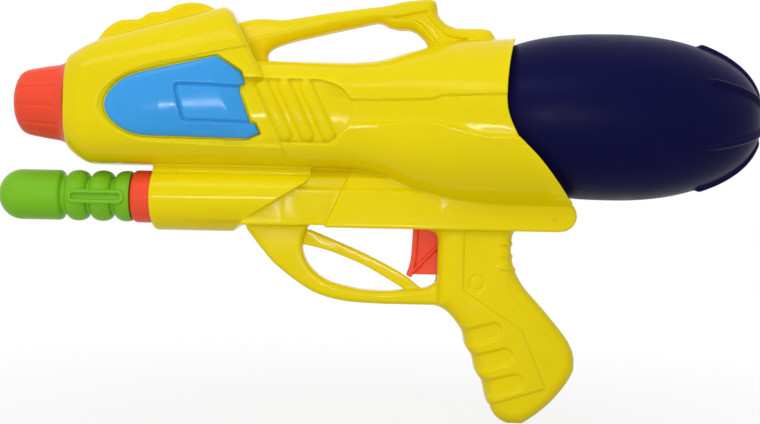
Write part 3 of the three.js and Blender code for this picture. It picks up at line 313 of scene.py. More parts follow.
def slope_at(b, field, points):
    """The field's direction at each point, and how steep it is there."""
    reach = SLOPE_REACH * b.step
    ends = [(points + reach * axis, points - reach * axis) for axis in np.eye(3)]
    made = np.stack([sample(b, field, far) - sample(b, field, near) for far, near in ends], 1)
    size = np.linalg.norm(made, axis=1, keepdims=True)
    return made / np.maximum(size, 1e-9), size / (2 * reach)


def placed(name, data):
    made = bpy.data.objects.new(name, data)
    bpy.context.scene.collection.objects.link(made)
    return made


def solid_from(name, points, faces):
    mesh = bpy.data.meshes.new(name)
    mesh.from_pydata(np.array(points, float) * MM, [], faces)
    mesh.update()
    return placed(name, mesh)


def thinned(made, triangles):
    """The object's mesh with its flat runs merged, down to a count of triangles."""
    now = sum(len(p.vertices) - 2 for p in made.data.polygons)
    if now > triangles:
        less = made.modifiers.new("less", "DECIMATE")
        less.ratio = triangles / now
        less.use_collapse_triangulate = True
        mesh = bpy.data.meshes.new_from_object(made.evaluated_get(bpy.context.evaluated_depsgraph_get()))
        made.modifiers.clear()
        old = made.data
        made.data = mesh
        bpy.data.meshes.remove(old)
        mesh.name = made.name


SHADE_INSET = 0.9
TURN_START = 0.01  # of 1 less the cosine between a corner's slope and its face
TURN_SPAN = 0.05


def corner_slopes(b, field, mesh, at, out, mirrored):
    """A shading slope for each face corner. Where the skin turns sharply at a corner, the slope a little way
    into the face is used, so that flat faces stay flat up to their rounded edges."""
    corner = np.empty(len(mesh.loops), np.int32)
    mesh.loops.foreach_get("vertex_index", corner)
    sides = np.empty(len(mesh.polygons), np.int32)
    mesh.polygons.foreach_get("loop_total", sides)
    starts = np.cumsum(sides) - sides
    face = np.repeat(np.arange(len(sides)), sides)
    first, second, third = [at[corner[starts + k]] for k in range(3)]
    flat = np.cross(second - first, third - first) * (-1 if mirrored else 1)
    flat /= np.maximum(np.linalg.norm(flat, axis=1, keepdims=True), 1e-9)
    middle = np.stack([np.bincount(face, at[corner, k]) for k in range(3)], 1) / sides[:, None]
    inwards = middle[face] - at[corner]
    far = np.linalg.norm(inwards, axis=1, keepdims=True)
    inset = np.minimum(0.5, SHADE_INSET / np.maximum(far, 1e-6))
    inner = slope_at(b, field, at[corner] + inwards * inset)[0]
    turn = 1 - (out[corner] * flat[face]).sum(1, keepdims=True)
    share = np.clip((turn - TURN_START) / TURN_SPAN, 0, 1)
    made = out[corner] * (1 - share) + inner * share
    return made / np.maximum(np.linalg.norm(made, axis=1, keepdims=True), 1e-9)


EDGE_REACH = 1.6
LEAST_STEEP = 0.3
MOST_SHIFT = 0.3  # of a step


def moulded(name, b, field, triangles, mirrored=False, whole=None):
    """A piece from its field, with its shading, its edges and the painted shade in its creases read from the
    field.
    """
    points, quads = skin(b, field)
    made = solid_from(name, points, quads)
    thinned(made, triangles)
    mesh = made.data
    co = np.empty(3 * len(mesh.vertices))
    mesh.vertices.foreach_get("co", co)
    at = co.reshape(-1, 3) / MM
    out, steep = slope_at(b, field, at)
    shift = sample(b, field, at) / np.maximum(steep[:, 0], LEAST_STEEP)
    at = at - out * np.clip(shift, -MOST_SHIFT * b.step, MOST_SHIFT * b.step)[:, None]
    whole = field if whole is None else whole
    edge = 1 + sample(b, whole, at - EDGE_REACH * out) / EDGE_REACH
    # How deep a place lies in a crease, which sets the painted shade darkened into creases
    crease_shade = 1 - sample(b, whole, at + EDGE_REACH * out) / EDGE_REACH
    if mirrored:
        mesh.flip_normals()
    slopes = corner_slopes(b, field, mesh, at, out, mirrored)
    if mirrored:
        at = at * (1, -1, 1)
        slopes = slopes * (1, -1, 1)
    mesh.vertices.foreach_set("co", (at * MM).ravel())
    for key, value in (("edge", edge), ("crease_shade", crease_shade)):
        layer = mesh.attributes.new(key, "FLOAT", "POINT")
        layer.data.foreach_set("value", np.clip(value, 0, 1).astype(F32))
    mesh.polygons.foreach_set("use_smooth", np.ones(len(mesh.polygons), bool))
    mesh.update()
    mesh.normals_split_custom_set(slopes)
    return made


# Shell: outlines as (x, z) in side view, and as (y, z) where the name ends in END or LEDGE
CREST = outline(
    [(-163, 196), (-160, 207)],
    [(-158, 209.4), (-154, 214.7), (-149, 218.8), (-144.7, 220.4), (-139, 220.9), (-135.7, 221)],
    [(-133.8, 222), (-130, 224.6), (-126, 225.4), (-122.4, 225.5)],
    [(-119, 226.7), (-115.7, 229), (-110, 230.5), (-104.6, 230.9), (-99, 230.2), (-93.3, 227.6), (-88, 222)],
    [(-88, 205)],
)
PANEL = outline(
    [
        (-88, 198.3), (-104, 194.8), (-120, 191.2), (-131.6, 188.1), (-138.6, 184.9), (-144, 180.2),
        (-147.3, 175.2), (-148.2, 171), (-147.2, 167), (-144.2, 162.8), (-138.8, 158.7), (-132.2, 156),
        (-124.6, 155.1), (-110, 154.9), (-90, 154.8), (-71.5, 154.6),
    ],
    [(-64.8, 157.5), (-67, 162.4)],
    [(-70, 163.6), (-75.5, 179)],
    [(-75.6, 181.8), (-73.2, 184.4)],
    [(-75, 190)],
)
LIP = outline(
    [
        (-40, 210.9), (-73.6, 204), (-90, 200.7), (-108, 197.2), (-123.9, 193.8), (-134.6, 189.8),
        (-143.6, 184.4), (-149.8, 177.9), (-152.2, 171.7), (-150.4, 165.7), (-145.6, 160.2),
        (-138.4, 155.6), (-129, 152.6), (-118, 151.6), (-84, 151.1), (-50, 150.6),
    ],
    [(-40, 150.6)],
)
PAD = outline(
    [(-84, 187), (-33.3, 187)],
    [(-33.3, 187), (-23, 183.7), (-16.4, 177), (-14.8, 171), (-16.8, 163.6), (-25, 154.4)],
    [(-27, 153), (-84, 153)],
)
PAD_RIBS = [((-63.9, 183.6), (-51, 157)), ((-52, 183.6), (-39.1, 157)), ((-40.3, 183.6), (-27.6, 157))]
BAND = outline(
    [(-20, 176.4), (27.4, 176.9)],
    [(31.6, 178.9), (78, 180.4)],
    [(78, 157.9), (55, 158.2)],
    [(31.9, 164.2), (26.5, 165)],
    [(-20, 163.8)],
)
COWL_REAR = outline(
    [(76, 252), (75, 215.5)],
    [(75, 215.5), (71.2, 208), (68, 195), (66.6, 180), (68, 169), (73, 158)],
    [(73, 158), (84.6, 146.8), (95.4, 134.4), (101.6, 127.2), (105.4, 123.6)],
    [(109, 122.8), (171.5, 122.8)],
    [(171.5, 252)],
)
BEAM = outline(
    [(BEAM_FRONT_X, BEAM_Z), (94, BEAM_Z)],
    [(94, BEAM_Z), (99, 107.2), (103.6, 108.6), (107.2, 111.8), (108.6, 116), (107.6, 120.4), (105.4, 123.4)],
    [(101, 127.4), (97, 150)],
    [(BEAM_FRONT_X + 0.449 * 43, 150)],
)
BEAM_END = [
    (0, 107), (17.6, 107), (18.5, 108), (17.3, 127.6), (15.7, 129.8), (15.4, 134.8), (11, 139.6),
    (11, 154), (0, 154),
]
WAIST = outline([(-84, 107.8), (-10, 107.8)], [(-10, 152), (-84, 152)])
WAIST_END = [
    (0, 107.8), (13.6, 107.8), (14.6, 108.8), (14.6, 128), (13.2, 129.7), (13.2, 134.6), (8, 139.8),
    (8, 154), (0, 154),
]
TUBE_LEDGE = [(0, 134), (12.1, 136.5), (12.4, 137.1), (10.2, 141.6), (0, 141.6)]
TUBE_TAIL = outline(
    [(-86, 100), (-70, 113.2)], [(-40.2, 132), (-37.4, 137)], [(-37.4, 160), (20, 160)], [(20, 100)],
)
GUARD = outline(
    [(-74, 111), (-72.8, 105.5)],
    [(-72.8, 105.5), (-63.6, 94), (-54.5, 84.6), (-36.3, 72.1), (-18.3, 66.9), (4, 65.6)],
    [(34, 65.6), (46, 65.6)],
    [(46, 77), (33.4, 80.5)],
    [(33.4, 80.5), (31.6, 77.4), (26, 74.7), (15, 73.6), (4, 72.6), (-9.4, 73.3)],
    [(-9.4, 73.3), (-26.3, 77.4), (-36, 84), (-41, 92), (-41.6, 100), (-38, 111)],
)
STRUT = outline(
    [(-45, 105), (-38, 106)],
    [(-38, 106), (-18.9, 98.3), (-5.3, 92.4), (12.8, 83.2), (25, 74.2)],
    [(25, 71), (17, 73)],
    [(17, 73), (-5.2, 85.7), (-18.8, 91.5), (-30, 95.3), (-45, 98.5)],
)


def nth(start, step, i):
    return start[0] + step[0] * i, start[1] + step[1] * i


FINGERS = 3
FINGER_STEP = (5.9, -14.0)
FINGER_RUN = [(33.2, 65.6), (40, 61.5)]
for i in range(FINGERS):
    FINGER_RUN += [nth((47.6, 51.6), FINGER_STEP, i), nth((49.6, 43.6), FINGER_STEP, i)]
GRIP = outline(
    [(28.6, 119), (28.8, 107.4)],
    [(28.8, 107.4), (31.6, 106), (32.9, 103.2), (33.2, 99)],
    [(33.2, 65.6)],
    FINGER_RUN + [(64.2, 7), (68.5, 2.4), (73.5, 0)],
    [(73.5, 0), (82, 0)],
    [(82, 0), (91, 6.2), (100, 14.6), (108.5, 26), (112, 37.2), (109.5, 47.5), (102.9, 57.1)],
    [(102.9, 57.1), (93.7, 68.1), (84.6, 78)],
    [(84.6, 78), (78.2, 87), (75.8, 97), (76.7, 106)],
    [(76.7, 119)],
)
GRIP_LINE = outline(
    [(47, 125), (47.2, 74.8)], [(80, 53.3), (93.2, 21.6)], [(70.4, 14.5), (40, 5)],
    [(40, -20), (140, -20)], [(140, 125)],
)
GRIP_BACK = outline(
    [(71.8, 130), (71.8, 75.4)], [(78.6, 65.6), (92.6, 51.7)], [(101, 43), (117, 24)],
    [(140, 24), (140, 130)],
)
CARRY_RIDGE = [(-82, 208), (-74, 210.1), (-25, 222.2), (25, 230)]
CARRY = outline(
    [(-92, 184), (-92, 220)],
    [(-80, 224), (-74, 225.5), (-66.4, 226), (-56, 224.6)],
    [(-56, 224.6), (-48.5, 225.4), (-21.7, 229.7), (5, 233.2), (25, 235.8)],
    [(25, 235.8), (28.5, 235.2), (30.4, 232.4), (31.2, 227), (35.5, 222.3), (41.3, 219.9)],
    [(41.3, 219.9), (56, 219.9)],
    [(56, 219.9), (60.4, 218.8), (63.4, 214.5)],
    [(63.4, 204), (30, 194)],
    [(-20, 189)],
)
WINDOW = outline(
    [(-57, 200), (-21, 198.5)],
    [(-21, 198.5), (-7.6, 199.3), (1.3, 201.2), (10.2, 203.6), (19, 206.6)],
    [(19, 206.6), (24.8, 208.6), (25.4, 210.4), (23.5, 213.4)],
    [
        (23.5, 213.4), (19, 217.2), (14.4, 218.6), (8, 218.1), (3.6, 218.5), (0.4, 220.4), (-2.6, 221.1),
        (-7, 220),
    ],
    [(-7, 220), (-48, 209.8)],
    [(-48, 209.8), (-57, 206.6), (-60.8, 203.2), (-57, 200)],
)
CARRY_WEB = outline(
    [(3, 224.1), (25, 228.4)],
    [(25.6, 224.5), (36, 214.9)],
    [(47, 213.4), (47, 206)],
    [(33, 206), (31, 210.5)],
    [(22.2, 220.8), (18.4, 223)],
    [(15, 224.2), (8, 223.8)],
)


def tank_radius(x, grow):
    front = x < BELLY_X
    length = np.where(front, TANK_FRONT, TANK_TAIL) + grow
    power = np.where(front, FRONT_POWER, TAIL_POWER)
    share = np.minimum(1, np.abs(x - BELLY_X) / length)
    return (TANK_R + grow) * (1 - share ** power) ** (1 / power)


HOOD_POWER = 2.8  # how square the hood's section is
CLIMB_EASE = 2.5
HOOD_SPREAD = 2.0  # what each side gains over a run behind the shoulder
HOOD_SPREAD_RUN = 40.0


def hood_skin(b):
    back = b.x - NOSE_X
    past = back - SHOULDER
    swell = np.sin(np.clip(back / SHOULDER, 0, 1) * (math.pi / 2))
    rise = np.sin(np.clip(back / TOP_SHOULDER, 0, 1) * (math.pi / 2))
    eased = np.log1p(np.exp(np.clip(past / CLIMB_EASE, -30, 30)))
    climb = math.tan(HOOD_SLOPE) * eased * CLIMB_EASE
    top = NOZZLE_Z + NOSE_R + (HOOD_RISE - NOSE_R) * rise + climb
    bottom = NOZZLE_Z - NOSE_R - (HOOD_DROP - NOSE_R) * swell
    spread = HOOD_SPREAD * np.clip(past / HOOD_SPREAD_RUN, 0, 1)
    half = NOSE_R + (HOOD_HALF - HOOD_SPREAD - NOSE_R) * swell + spread
    return oval(b, top.astype(F32), bottom.astype(F32), half.astype(F32), F32(HOOD_POWER))


def behind_hood(b):
    """Distance behind the plane that cuts off the hood's leaning rear."""
    return (b.x - HOOD_REAR_X - (HOOD_TOP - b.z) * math.tan(HOOD_LEAN)) * math.cos(HOOD_LEAN)


POCKET_DEPTH = 2.4
POCKET_REAR_X = -96.0
POCKET_REAR_SHARE = 0.5
LIP_INSET = 0.3


def pocket_depth(b):
    """How far the hood's skin sinks inside the lip round a side panel: a cove, or at the rear a step."""
    into = np.maximum(-side_view(b, LIP), 0)
    away = np.maximum(side_view(b, PANEL), 0)
    cove = np.clip(into / (into + away + 1e-3), 0, 1)
    rear = step_up(b.x - POCKET_REAR_X, width=20)
    share = cove * (1 - rear) + POCKET_REAR_SHARE * rear
    return POCKET_DEPTH * share * step_up(into - LIP_INSET, width=0.8)


CREASE_TOP = (-88.0, 184.0)  # the crease across a panel stands upright above this place
CREASE_FOOT = (-87.4, 183.5)  # and leans back below this one
CREASE_LEAN = 0.396
PANEL_SLOPE = 0.16
PANEL_BEND = 1.5
PANEL_DEPTH = 2.4
PANEL_THICK = 2.6


def panel_sink(b):
    """Depth of a side panel's face and of its underside, below the hood's skin."""
    leaning = CREASE_FOOT[0] + (CREASE_FOOT[1] - b.z) * CREASE_LEAN
    past = b.x - np.where(b.z > CREASE_TOP[1], F32(CREASE_TOP[0]), leaning)
    face = PANEL_SLOPE * (past + np.sqrt(past * past + PANEL_BEND)) - PANEL_PROUD
    return face, np.maximum(PANEL_DEPTH, face + PANEL_THICK)


BEVEL_EDGE = (29.6, 150.6)  # of the bevel under the hood's sides: across and height
BEVEL_TILT = (0.72, 0.69)
NOSE_FLAT = 1.4
REAR_BEVEL_SLOPE = 0.7
REAR_BEVEL_DEPTH = 3.4


def hood_form(b, plain_hood):
    """The hood with its bevels and with pockets for the side panels."""
    across = (np.abs(b.y) - BEVEL_EDGE[0]) * BEVEL_TILT[0]
    hood = smax(plain_hood, across + (BEVEL_EDGE[1] - b.z) * BEVEL_TILT[1], soft=0.8)
    hood = hood + pocket_depth(b)
    hood = smax(hood, NOSE_X + NOSE_FLAT - b.x, soft=1.2)
    bevel = REAR_BEVEL_SLOPE * np.maximum(hood + REAR_BEVEL_DEPTH, 0)
    return smax(hood, behind_hood(b) + bevel, soft=1.5)


COWL_X = 74.0
COWL_OVER_TANK = 3.2
COWL_SHORT = 3.5  # of the lower body's rear end
UNDER_HOOD = 8.0  # how far the barrel reaches into the hood


def barrel_skin(b):
    """The barrel, which swells at the rear into a cowl over the front of the tank."""
    stations = [-100, -22, -4, 20, 44, COWL_X, BEAM_REAR_X]
    belly = float(tank_radius(BEAM_REAR_X, COWL_OVER_TANK))
    cowl = TANK_Z + float(tank_radius(COWL_X, COWL_OVER_TANK))
    top = smooth_run(b.x, stations, [199.5, 198.8, 200.2, 207.1, cowl - 2, cowl, TANK_Z + belly])
    low = smooth_run(b.x, stations, [140, 140, 137.5, 127.5, 121, 119, 119])
    half = smooth_run(b.x, stations, [30.5, 30.5, 31.5, 38, 43.5, belly - 3, belly])
    power = smooth_run(b.x, stations, [3.0, 3.0, 2.8, 2.4, 2.2, 2.2, 2.2])
    return oval(b, top, low, half, power)


def barrel_form(b, rear):
    barrel = barrel_skin(b) + sunk(-side_view(b, BAND), depth=1.8, width=1.4)
    barrel = smax(smax(barrel, rear, soft=0.9), -UNDER_HOOD - behind_hood(b), soft=0.5)
    return np.maximum(barrel, b.x - (BEAM_REAR_X - COWL_SHORT))


PAD_HALF = 28.6  # from the middle plane to the pad's floor at its middle height
PAD_MIDDLE_Z = 170.0
PAD_ROUND = 130.0
PAD_RIB_R = 4.2
PAD_RIB_SUNK = 1.5


def with_thumb_pad(b, whole):
    floor = PAD_HALF - (b.z - PAD_MIDDLE_Z) ** 2 * (1 / PAD_ROUND)
    cut = np.maximum(side_view(b, PAD), floor - np.abs(b.y))
    whole = smax(whole, -cut, soft=0.9)
    for start, end in PAD_RIBS:
        rib = np.hypot(segment(b, start, end), np.abs(b.y) - floor + PAD_RIB_SUNK) - PAD_RIB_R
        whole = smin(whole, rib, soft=0.8)
    return whole


PANEL_ROOM = 0.8
SEAT_ROOM = 0.35
PANEL_INNER_Y = 18.0


def panel_seat(b, plain_hood):
    """The room in the shell that a side panel fills."""
    below = -(plain_hood + panel_sink(b)[1] + SEAT_ROOM)
    seat = np.maximum(side_view(b, PANEL) - PANEL_ROOM, below)
    return np.maximum(seat, PANEL_INNER_Y - np.abs(b.y))


WAIST_LEAN = 0.05
WAIST_LEAN_X = -43.0
WAIST_LEAN_Z = 127.0
TAIL_LAP = 0.8
TUBE_BULGE = 2.2
TUBE_END_X = -20.0


def lower_form(b, rear):
    """The beam over the grip, the waist before it and the tube round the pump."""
    beam = smax(smax(side_view(b, BEAM), end_view(b, BEAM_END), soft=2.2), rear, soft=0.9)
    tail = side_view(b, TUBE_TAIL)
    lean = WAIST_LEAN * np.maximum(WAIST_LEAN_Z - b.z, 0) * step_up(b.x - WAIST_LEAN_X, width=22)
    waist = smax(side_view(b, WAIST), end_view(b, WAIST_END) + lean, soft=1.0)
    waist = np.maximum(waist, tail - TAIL_LAP)
    tube = smin(round_x(b, PUMP_Z, TUBE_R), end_view(b, TUBE_LEDGE), soft=0.3)
    tube = smax(tube, -tail, soft=0.8)
    front = TUBE_X + TUBE_BULGE * np.maximum(1 - np.abs(b.y) / TUBE_R, 0)
    tube = smax(tube, np.maximum(front - b.x, b.x - TUBE_END_X), soft=1.6)
    return smin(smin(beam, waist, soft=0.8), tube, soft=0.6)


BACK_SLOPE = 0.22
GROOVE_FRONT = (46.0, 47.2)  # ends of the uppermost finger groove, and the way to the next ones
GROOVE_FRONT_STEP = (5.1, -13.9)
GROOVE_BACK = (64.5, 52.4)
GROOVE_BACK_STEP = (6.1, -13.9)
GROOVE_HALF = 4.7
RING = (54.8, 78.8, 3.9)
RING_HALF = 0.8
THUMB_RIBS = (100.4, 93.8, 86.9)
THUMB_RIB_HALF = 1.1


def grip_form(b):
    """The grip with its sunk front, sloping back, finger grooves, ring and thumb ribs."""
    behind = -side_view(b, GRIP_BACK)
    flank = step_up(np.abs(b.y) - 8, width=6)
    grip = slab(b, side_view(b, GRIP), half=15.4, edge=8.5)
    grip = grip + sunk(-side_view(b, GRIP_LINE), depth=1.1, width=0.8)
    grip = grip + sunk(behind, depth=0.4, width=1.0) + BACK_SLOPE * np.maximum(behind, 0)
    for i in range(FINGERS):
        front, back = nth(GROOVE_FRONT, GROOVE_FRONT_STEP, i), nth(GROOVE_BACK, GROOVE_BACK_STEP, i)
        grip = grip + sunk(GROOVE_HALF - segment(b, front, back), depth=1.5, width=1.8) * flank
    grip = grip + sunk(RING_HALF - np.abs(round_y(b, *RING)), depth=0.7, width=0.9)
    for z in THUMB_RIBS:
        away = segment(b, (67.9, z + 0.4), (82, z - 0.6))
        grip = grip - sunk(THUMB_RIB_HALF - away, depth=1.2, width=1.2) * flank
    return grip


def guard_form(b):
    guard = slab(b, side_view(b, GUARD), half=8, edge=2.8)
    strut = slab(b, side_view(b, STRUT), half=4.5, edge=1.1)
    return smin(guard, strut, soft=1.0)


RIDGE_SLOPE = 0.3
RIDGE_FLAT = 0.6
RIDGE_END_X = 6.0


def carry_form(b):
    """The carry handle, roofed along a ridge, with a sunk web at its rear."""
    bar = np.maximum(side_view(b, CARRY), -side_view(b, WINDOW))
    made = slab(b, bar, half=9, edge=7) + sunk(-side_view(b, CARRY_WEB), depth=1.7, width=1.0)
    away = np.minimum.reduce([segment(b, *ends) for ends in zip(CARRY_RIDGE, CARRY_RIDGE[1:])])
    return made + RIDGE_SLOPE * np.maximum(away - RIDGE_FLAT, 0) * step_up(RIDGE_END_X - b.x, width=14)


HOOD_CORE = 40.0  # the carry handle stays out of the hood down to this depth


def shell_outside(b):
    """The outside of both shell halves together."""
    plain_hood = hood_skin(b)
    hood = hood_form(b, plain_hood)
    rear = -side_view(b, COWL_REAR)
    whole = smin(hood, barrel_form(b, rear), soft=0.7)
    whole = with_thumb_pad(b, whole)
    whole = np.maximum(whole, -panel_seat(b, plain_hood))
    whole = smin(whole, lower_form(b, rear), soft=1.0)
    whole = smin(whole, grip_form(b), soft=3.5)
    whole = smin(whole, guard_form(b), soft=1.6)
    whole = smin(whole, np.maximum(carry_form(b), -np.maximum(hood, -HOOD_CORE)), soft=1.2)
    return smin(whole, slab(b, side_view(b, CREST), half=7.5, edge=3.2), soft=1.2)


TRIGGER_ROOM = outline(
    [(16.5, 109.5), (18.5, 95)], [(13.6, 83), (19, 79.4)], [(46.5, 78), (44, 105)], [(38, 117)],
    [(32, 132.6), (15.3, 132.6)], [(15.3, 111)],
)
PANEL_PEGS = [(-128, 170), (-92, 162)]
TUBE_PLATE = (2.5, 104.0, 141.0)  # a plate's thickness, low and high
VALVE_PLATE = (2.0, BEAM_Z, 134.5)
SOCKET_PLATE = (2.4, BEAM_Z, 230.0)
PLATES = [
    (TUBE_X + 11, *TUBE_PLATE), (-74, *TUBE_PLATE), (CYLINDER_END - 8, *TUBE_PLATE),
    (VALVE_X + 12.5, *VALVE_PLATE), (VALVE_END - 2, *VALVE_PLATE),
    (SOCKET_X - 1.5, *SOCKET_PLATE), (SOCKET_X + 4, *SOCKET_PLATE),
]
# Bores along X: radius, height, front and rear
BORES = [
    (20.3, NOZZLE_Z, NOSE_X - 3, NOSE_X + 5),
    (CAP_R + GAP, PUMP_Z, TUBE_X - 3, TUBE_X + 14.3),
    (CYLINDER_R + GAP, PUMP_Z, TUBE_X, CYLINDER_END + GAP),
    (VALVE_R + GAP, PUMP_Z, CYLINDER_END, CYLINDER_END + 20),
    (VALVE_R + GAP, VALVE_Z, VALVE_X - GAP, VALVE_END + GAP),
    (SOCKET_R + GAP, TANK_Z, SOCKET_X, SOCKET_X + 19),
    (SOCKET_R - 3, TANK_Z, SOCKET_X - 4, SOCKET_X),
]
SCREW_POST_R = 5.4
SCREW_PILOT_R = 1.4
SCREW_PILOT_END = 7.0
PIN_POST_R = 4.5
PIN_HOLE_R = 2.3
PIN_HOLE_END = 14.0
PEG_HOLE_R = 2.3
PEG_HOLE_Y = 15.0
SIDE_ROOM = 0.4  # beside the trigger and round a screw's head
POST_INSET = 1.0  # of plates and posts, below the outside
TANK_ROOM = 1.0


def plate(b, x, thick, low, high):
    return np.maximum(between(b.x, x - thick / 2, x + thick / 2), between(b.z, low, high))


def shell_bores(b):
    """What is cut from the shell for the pieces that sit in it."""
    side = np.abs(b.y)
    for radius, z, low, high in BORES:
        yield np.maximum(round_x(b, z, radius), between(b.x, low, high))
    yield np.maximum(side_view(b, TRIGGER_ROOM), side - (TRIGGER_HALF + SIDE_ROOM))
    yield np.maximum(round_y(b, *PIVOT, PIN_HOLE_R), side - PIN_HOLE_END)
    tank = np.hypot(b.y, b.z - TANK_Z) - tank_radius(b.x, TANK_ROOM).astype(F32)
    yield np.maximum(tank, BELLY_X - TANK_FRONT - TANK_ROOM - b.x)
    for x, z in PANEL_PEGS:
        yield np.maximum(round_y(b, x, z, PEG_HOLE_R), PEG_HOLE_Y - side)
    for x, z in SCREWS:
        yield np.maximum(round_y(b, x, z, SCREW_PILOT_R), side - SCREW_PILOT_END)


def shell_field(b):
    """The hollowed shell with its plates, posts and bores, and the outside that it is hollowed from."""
    outside = shell_outside(b) + SEAM / SEAM_HALF * np.maximum(SEAM_HALF - np.abs(b.y), 0)
    made = np.maximum(outside, -(outside + WALL))
    fill = np.minimum.reduce([np.broadcast_to(plate(b, *p), outside.shape) for p in PLATES])
    for x, z in SCREWS:
        fill = np.minimum(fill, round_y(b, x, z, SCREW_POST_R))
    fill = np.minimum(fill, round_y(b, *PIVOT, PIN_POST_R))
    made = smin(made, np.maximum(fill, outside + POST_INSET), soft=0.6)
    for bore in shell_bores(b):
        made = np.maximum(made, -bore)
    return made, outside


def screw_holes(b, made):
    for x, z in SCREWS:
        hole = round_y(b, x, z, SCREW_HEAD_R + SIDE_ROOM)
        made = np.maximum(made, -np.maximum(hole, SCREW_SEAT - b.y))
    return made


# Side panels
PANEL_DISH = outline(
    [(-58, 182.2), (-106.5, 183.3)],
    [(-106.5, 183.3), (-109.6, 182.6), (-110, 179.4)],
    [(-110, 179.4), (-106.6, 166)],
    [(-106.6, 166), (-105.4, 163.6), (-102.4, 163)],
    [(-58, 162.6)],
)


DISH_GROOVE = 0.9
DISH_GROOVE_IN = 0.5
DISH_GROOVE_WIDTH = 0.8
ROLL_DEPTH = 1.8
ROLL_RUN = 3.0
ROLL_REAR_X = -80.0  # the rolled edge fades towards here
ROLL_FADE = 25.0
ROLL_LEAST = 0.15
PANEL_LEAST = 1.0
PEG_R = 2.0
PEG_Y = (26.8, 32.0)


def panel_field(b):
    """A side panel on the +Y side: a thin skin with rolled edges, a dished strip and two pegs behind."""
    hood = hood_skin(b)
    face, under = panel_sink(b)
    inset = -side_view(b, PANEL_DISH)
    groove = np.exp(-((inset - DISH_GROOVE_IN) / DISH_GROOVE_WIDTH) ** 2)
    dish = sunk(inset, depth=0.9, width=1.0) + DISH_GROOVE * groove
    flat = side_view(b, PANEL)
    fade = np.clip((ROLL_REAR_X - b.x) / ROLL_FADE, ROLL_LEAST, 1)
    roll = ROLL_DEPTH * np.exp(np.minimum(flat, 0) / ROLL_RUN) * fade
    made = smax(flat, hood + face + dish + roll, soft=1.6)
    made = np.maximum(made, -(hood + np.maximum(under, face + dish + PANEL_LEAST)))
    made = np.maximum(made, PANEL_INNER_Y - b.y)
    for x, z in PANEL_PEGS:
        peg = np.maximum(round_y(b, x, z, PEG_R), between(b.y, *PEG_Y))
        made = np.minimum(made, np.maximum(peg, hood + POST_INSET))
    return made


# Trigger
TRIGGER = outline(
    [(19.6, 107), (19.3, 101)],
    [(19.3, 101), (18.9, 93), (17.9, 87), (16.2, 82)],
    [(18.4, 80.6), (36.5, 80.6)],
    [(37.5, 105), (32, 116)],
    [(29, VALVE_Z), (27, VALVE_Z + 4)],
    [(21.3, VALVE_Z + 4), (20.3, VALVE_Z + 3)],
    [(19.3, VALVE_Z - 3)],
)
TRIGGER_WEB = outline(
    [(22.4, 110), (22.2, 101)],
    [(22.2, 101), (21.7, 93), (20.8, 87), (19, 79.6)],
    [(40, 80), (40, 110)],
)


TRIGGER_RIB = ((35.5, 100.5), (16.6, 80.6))
TRIGGER_RIB_HALF = 0.9


def trigger_field(b):
    """The trigger: a thick rim and a slanting rib with thin webs between them."""
    rib = segment(b, *TRIGGER_RIB) - TRIGGER_RIB_HALF
    web = np.minimum(-side_view(b, TRIGGER_WEB), rib)
    made = slab(b, side_view(b, TRIGGER), TRIGGER_HALF, edge=0.7) + sunk(web, depth=1.7, width=0.9)
    return np.maximum(made, -round_y(b, *PIVOT, PIN_HOLE_R))


# Pump handle
HANDLE_NOSE = 13.0
HANDLE_RIBS = (-167.6, -154.1, -140.7)
HANDLE_RIB = 3.5
HANDLE_RIB_HALF = 5.9
HANDLE_CORE_R = 10.7
HANDLE_STEP = [(-178, HANDLE_R), (-176.9, 13.6), (-176.2, 12.8), (-175.8, 11.6), (-175.2, 10.9)]
HANDLE_CORE_X = -174.2
HANDLE_END_R = 13.4
HOLLOW_X = -188.0
HOLLOW_R = 9.2
POST_X = -139.3
POST_R = 6.4
ROD_HOLE_X = -184.3
SLOT_X = (-167.5, -143.6)
SLOT_Z = PUMP_Z - 0.6
SLOT_HALF = 1.7
SLOT_FLOOR_Y = 13.2
BEAD_R = 2.75
BEAD_HALF = 1.1
BEAD_Y = (10.6, 15.0)


def handle_path():
    """Half section of the pump's handle as (x, radius), with the hollow for its rod."""
    path = []
    for t in np.linspace(0, math.pi / 2, 14):
        path.append((HANDLE_TIP + HANDLE_NOSE * (1 - math.cos(t)), HANDLE_R * math.sin(t)))
    path += HANDLE_STEP
    for x in np.arange(HANDLE_CORE_X, HANDLE_END, 0.4):
        near = min(abs(x - rib) for rib in HANDLE_RIBS)
        path.append((x, HANDLE_CORE_R + HANDLE_RIB * math.sqrt(max(0, 1 - (near / HANDLE_RIB_HALF) ** 2))))
    path += [(HANDLE_END, HANDLE_END_R), (HANDLE_END, HOLLOW_R), (HOLLOW_X, HOLLOW_R), (HOLLOW_X, POST_R)]
    path += [(POST_X, POST_R), (POST_X, ROD_R + GAP), (ROD_HOLE_X, ROD_R + GAP)]
    # The path closes below the axis, so that no skin lies on the axis itself
    return np.array(path + [(ROD_HOLE_X, -HANDLE_R), (HANDLE_TIP, -HANDLE_R)])


def handle_field(b):
    """The pump's handle with a beaded slot along each side."""
    made = polygon_distance(b.x, np.hypot(b.y, b.z - PUMP_Z), handle_path())
    away = segment(b, *[(x, SLOT_Z) for x in SLOT_X])
    side = np.abs(b.y)
    made = np.maximum(made, -np.maximum(away - SLOT_HALF, SLOT_FLOOR_Y - side))
    bead = smax(np.abs(away - BEAD_R) - BEAD_HALF, between(side, *BEAD_Y), soft=0.7)
    floor = np.maximum(away - BEAD_R, between(side, BEAD_Y[0], SLOT_FLOOR_Y))
    return np.minimum(np.minimum(made, floor), bead)


# Screws
SHANK_R = 1.15
SHANK_LONG = 10.0
SHANK_TAPER = 2.5
SHANK_PITCH = 1.25
SHANK_RIDGE = 0.4
HEAD_HIGH = 2.0
DOME_DROP = 3.2
DOME_R = 5.1
CROSS_HALF = 0.45
CROSS_REACH = 1.9
CROSS_FLOOR = 0.8


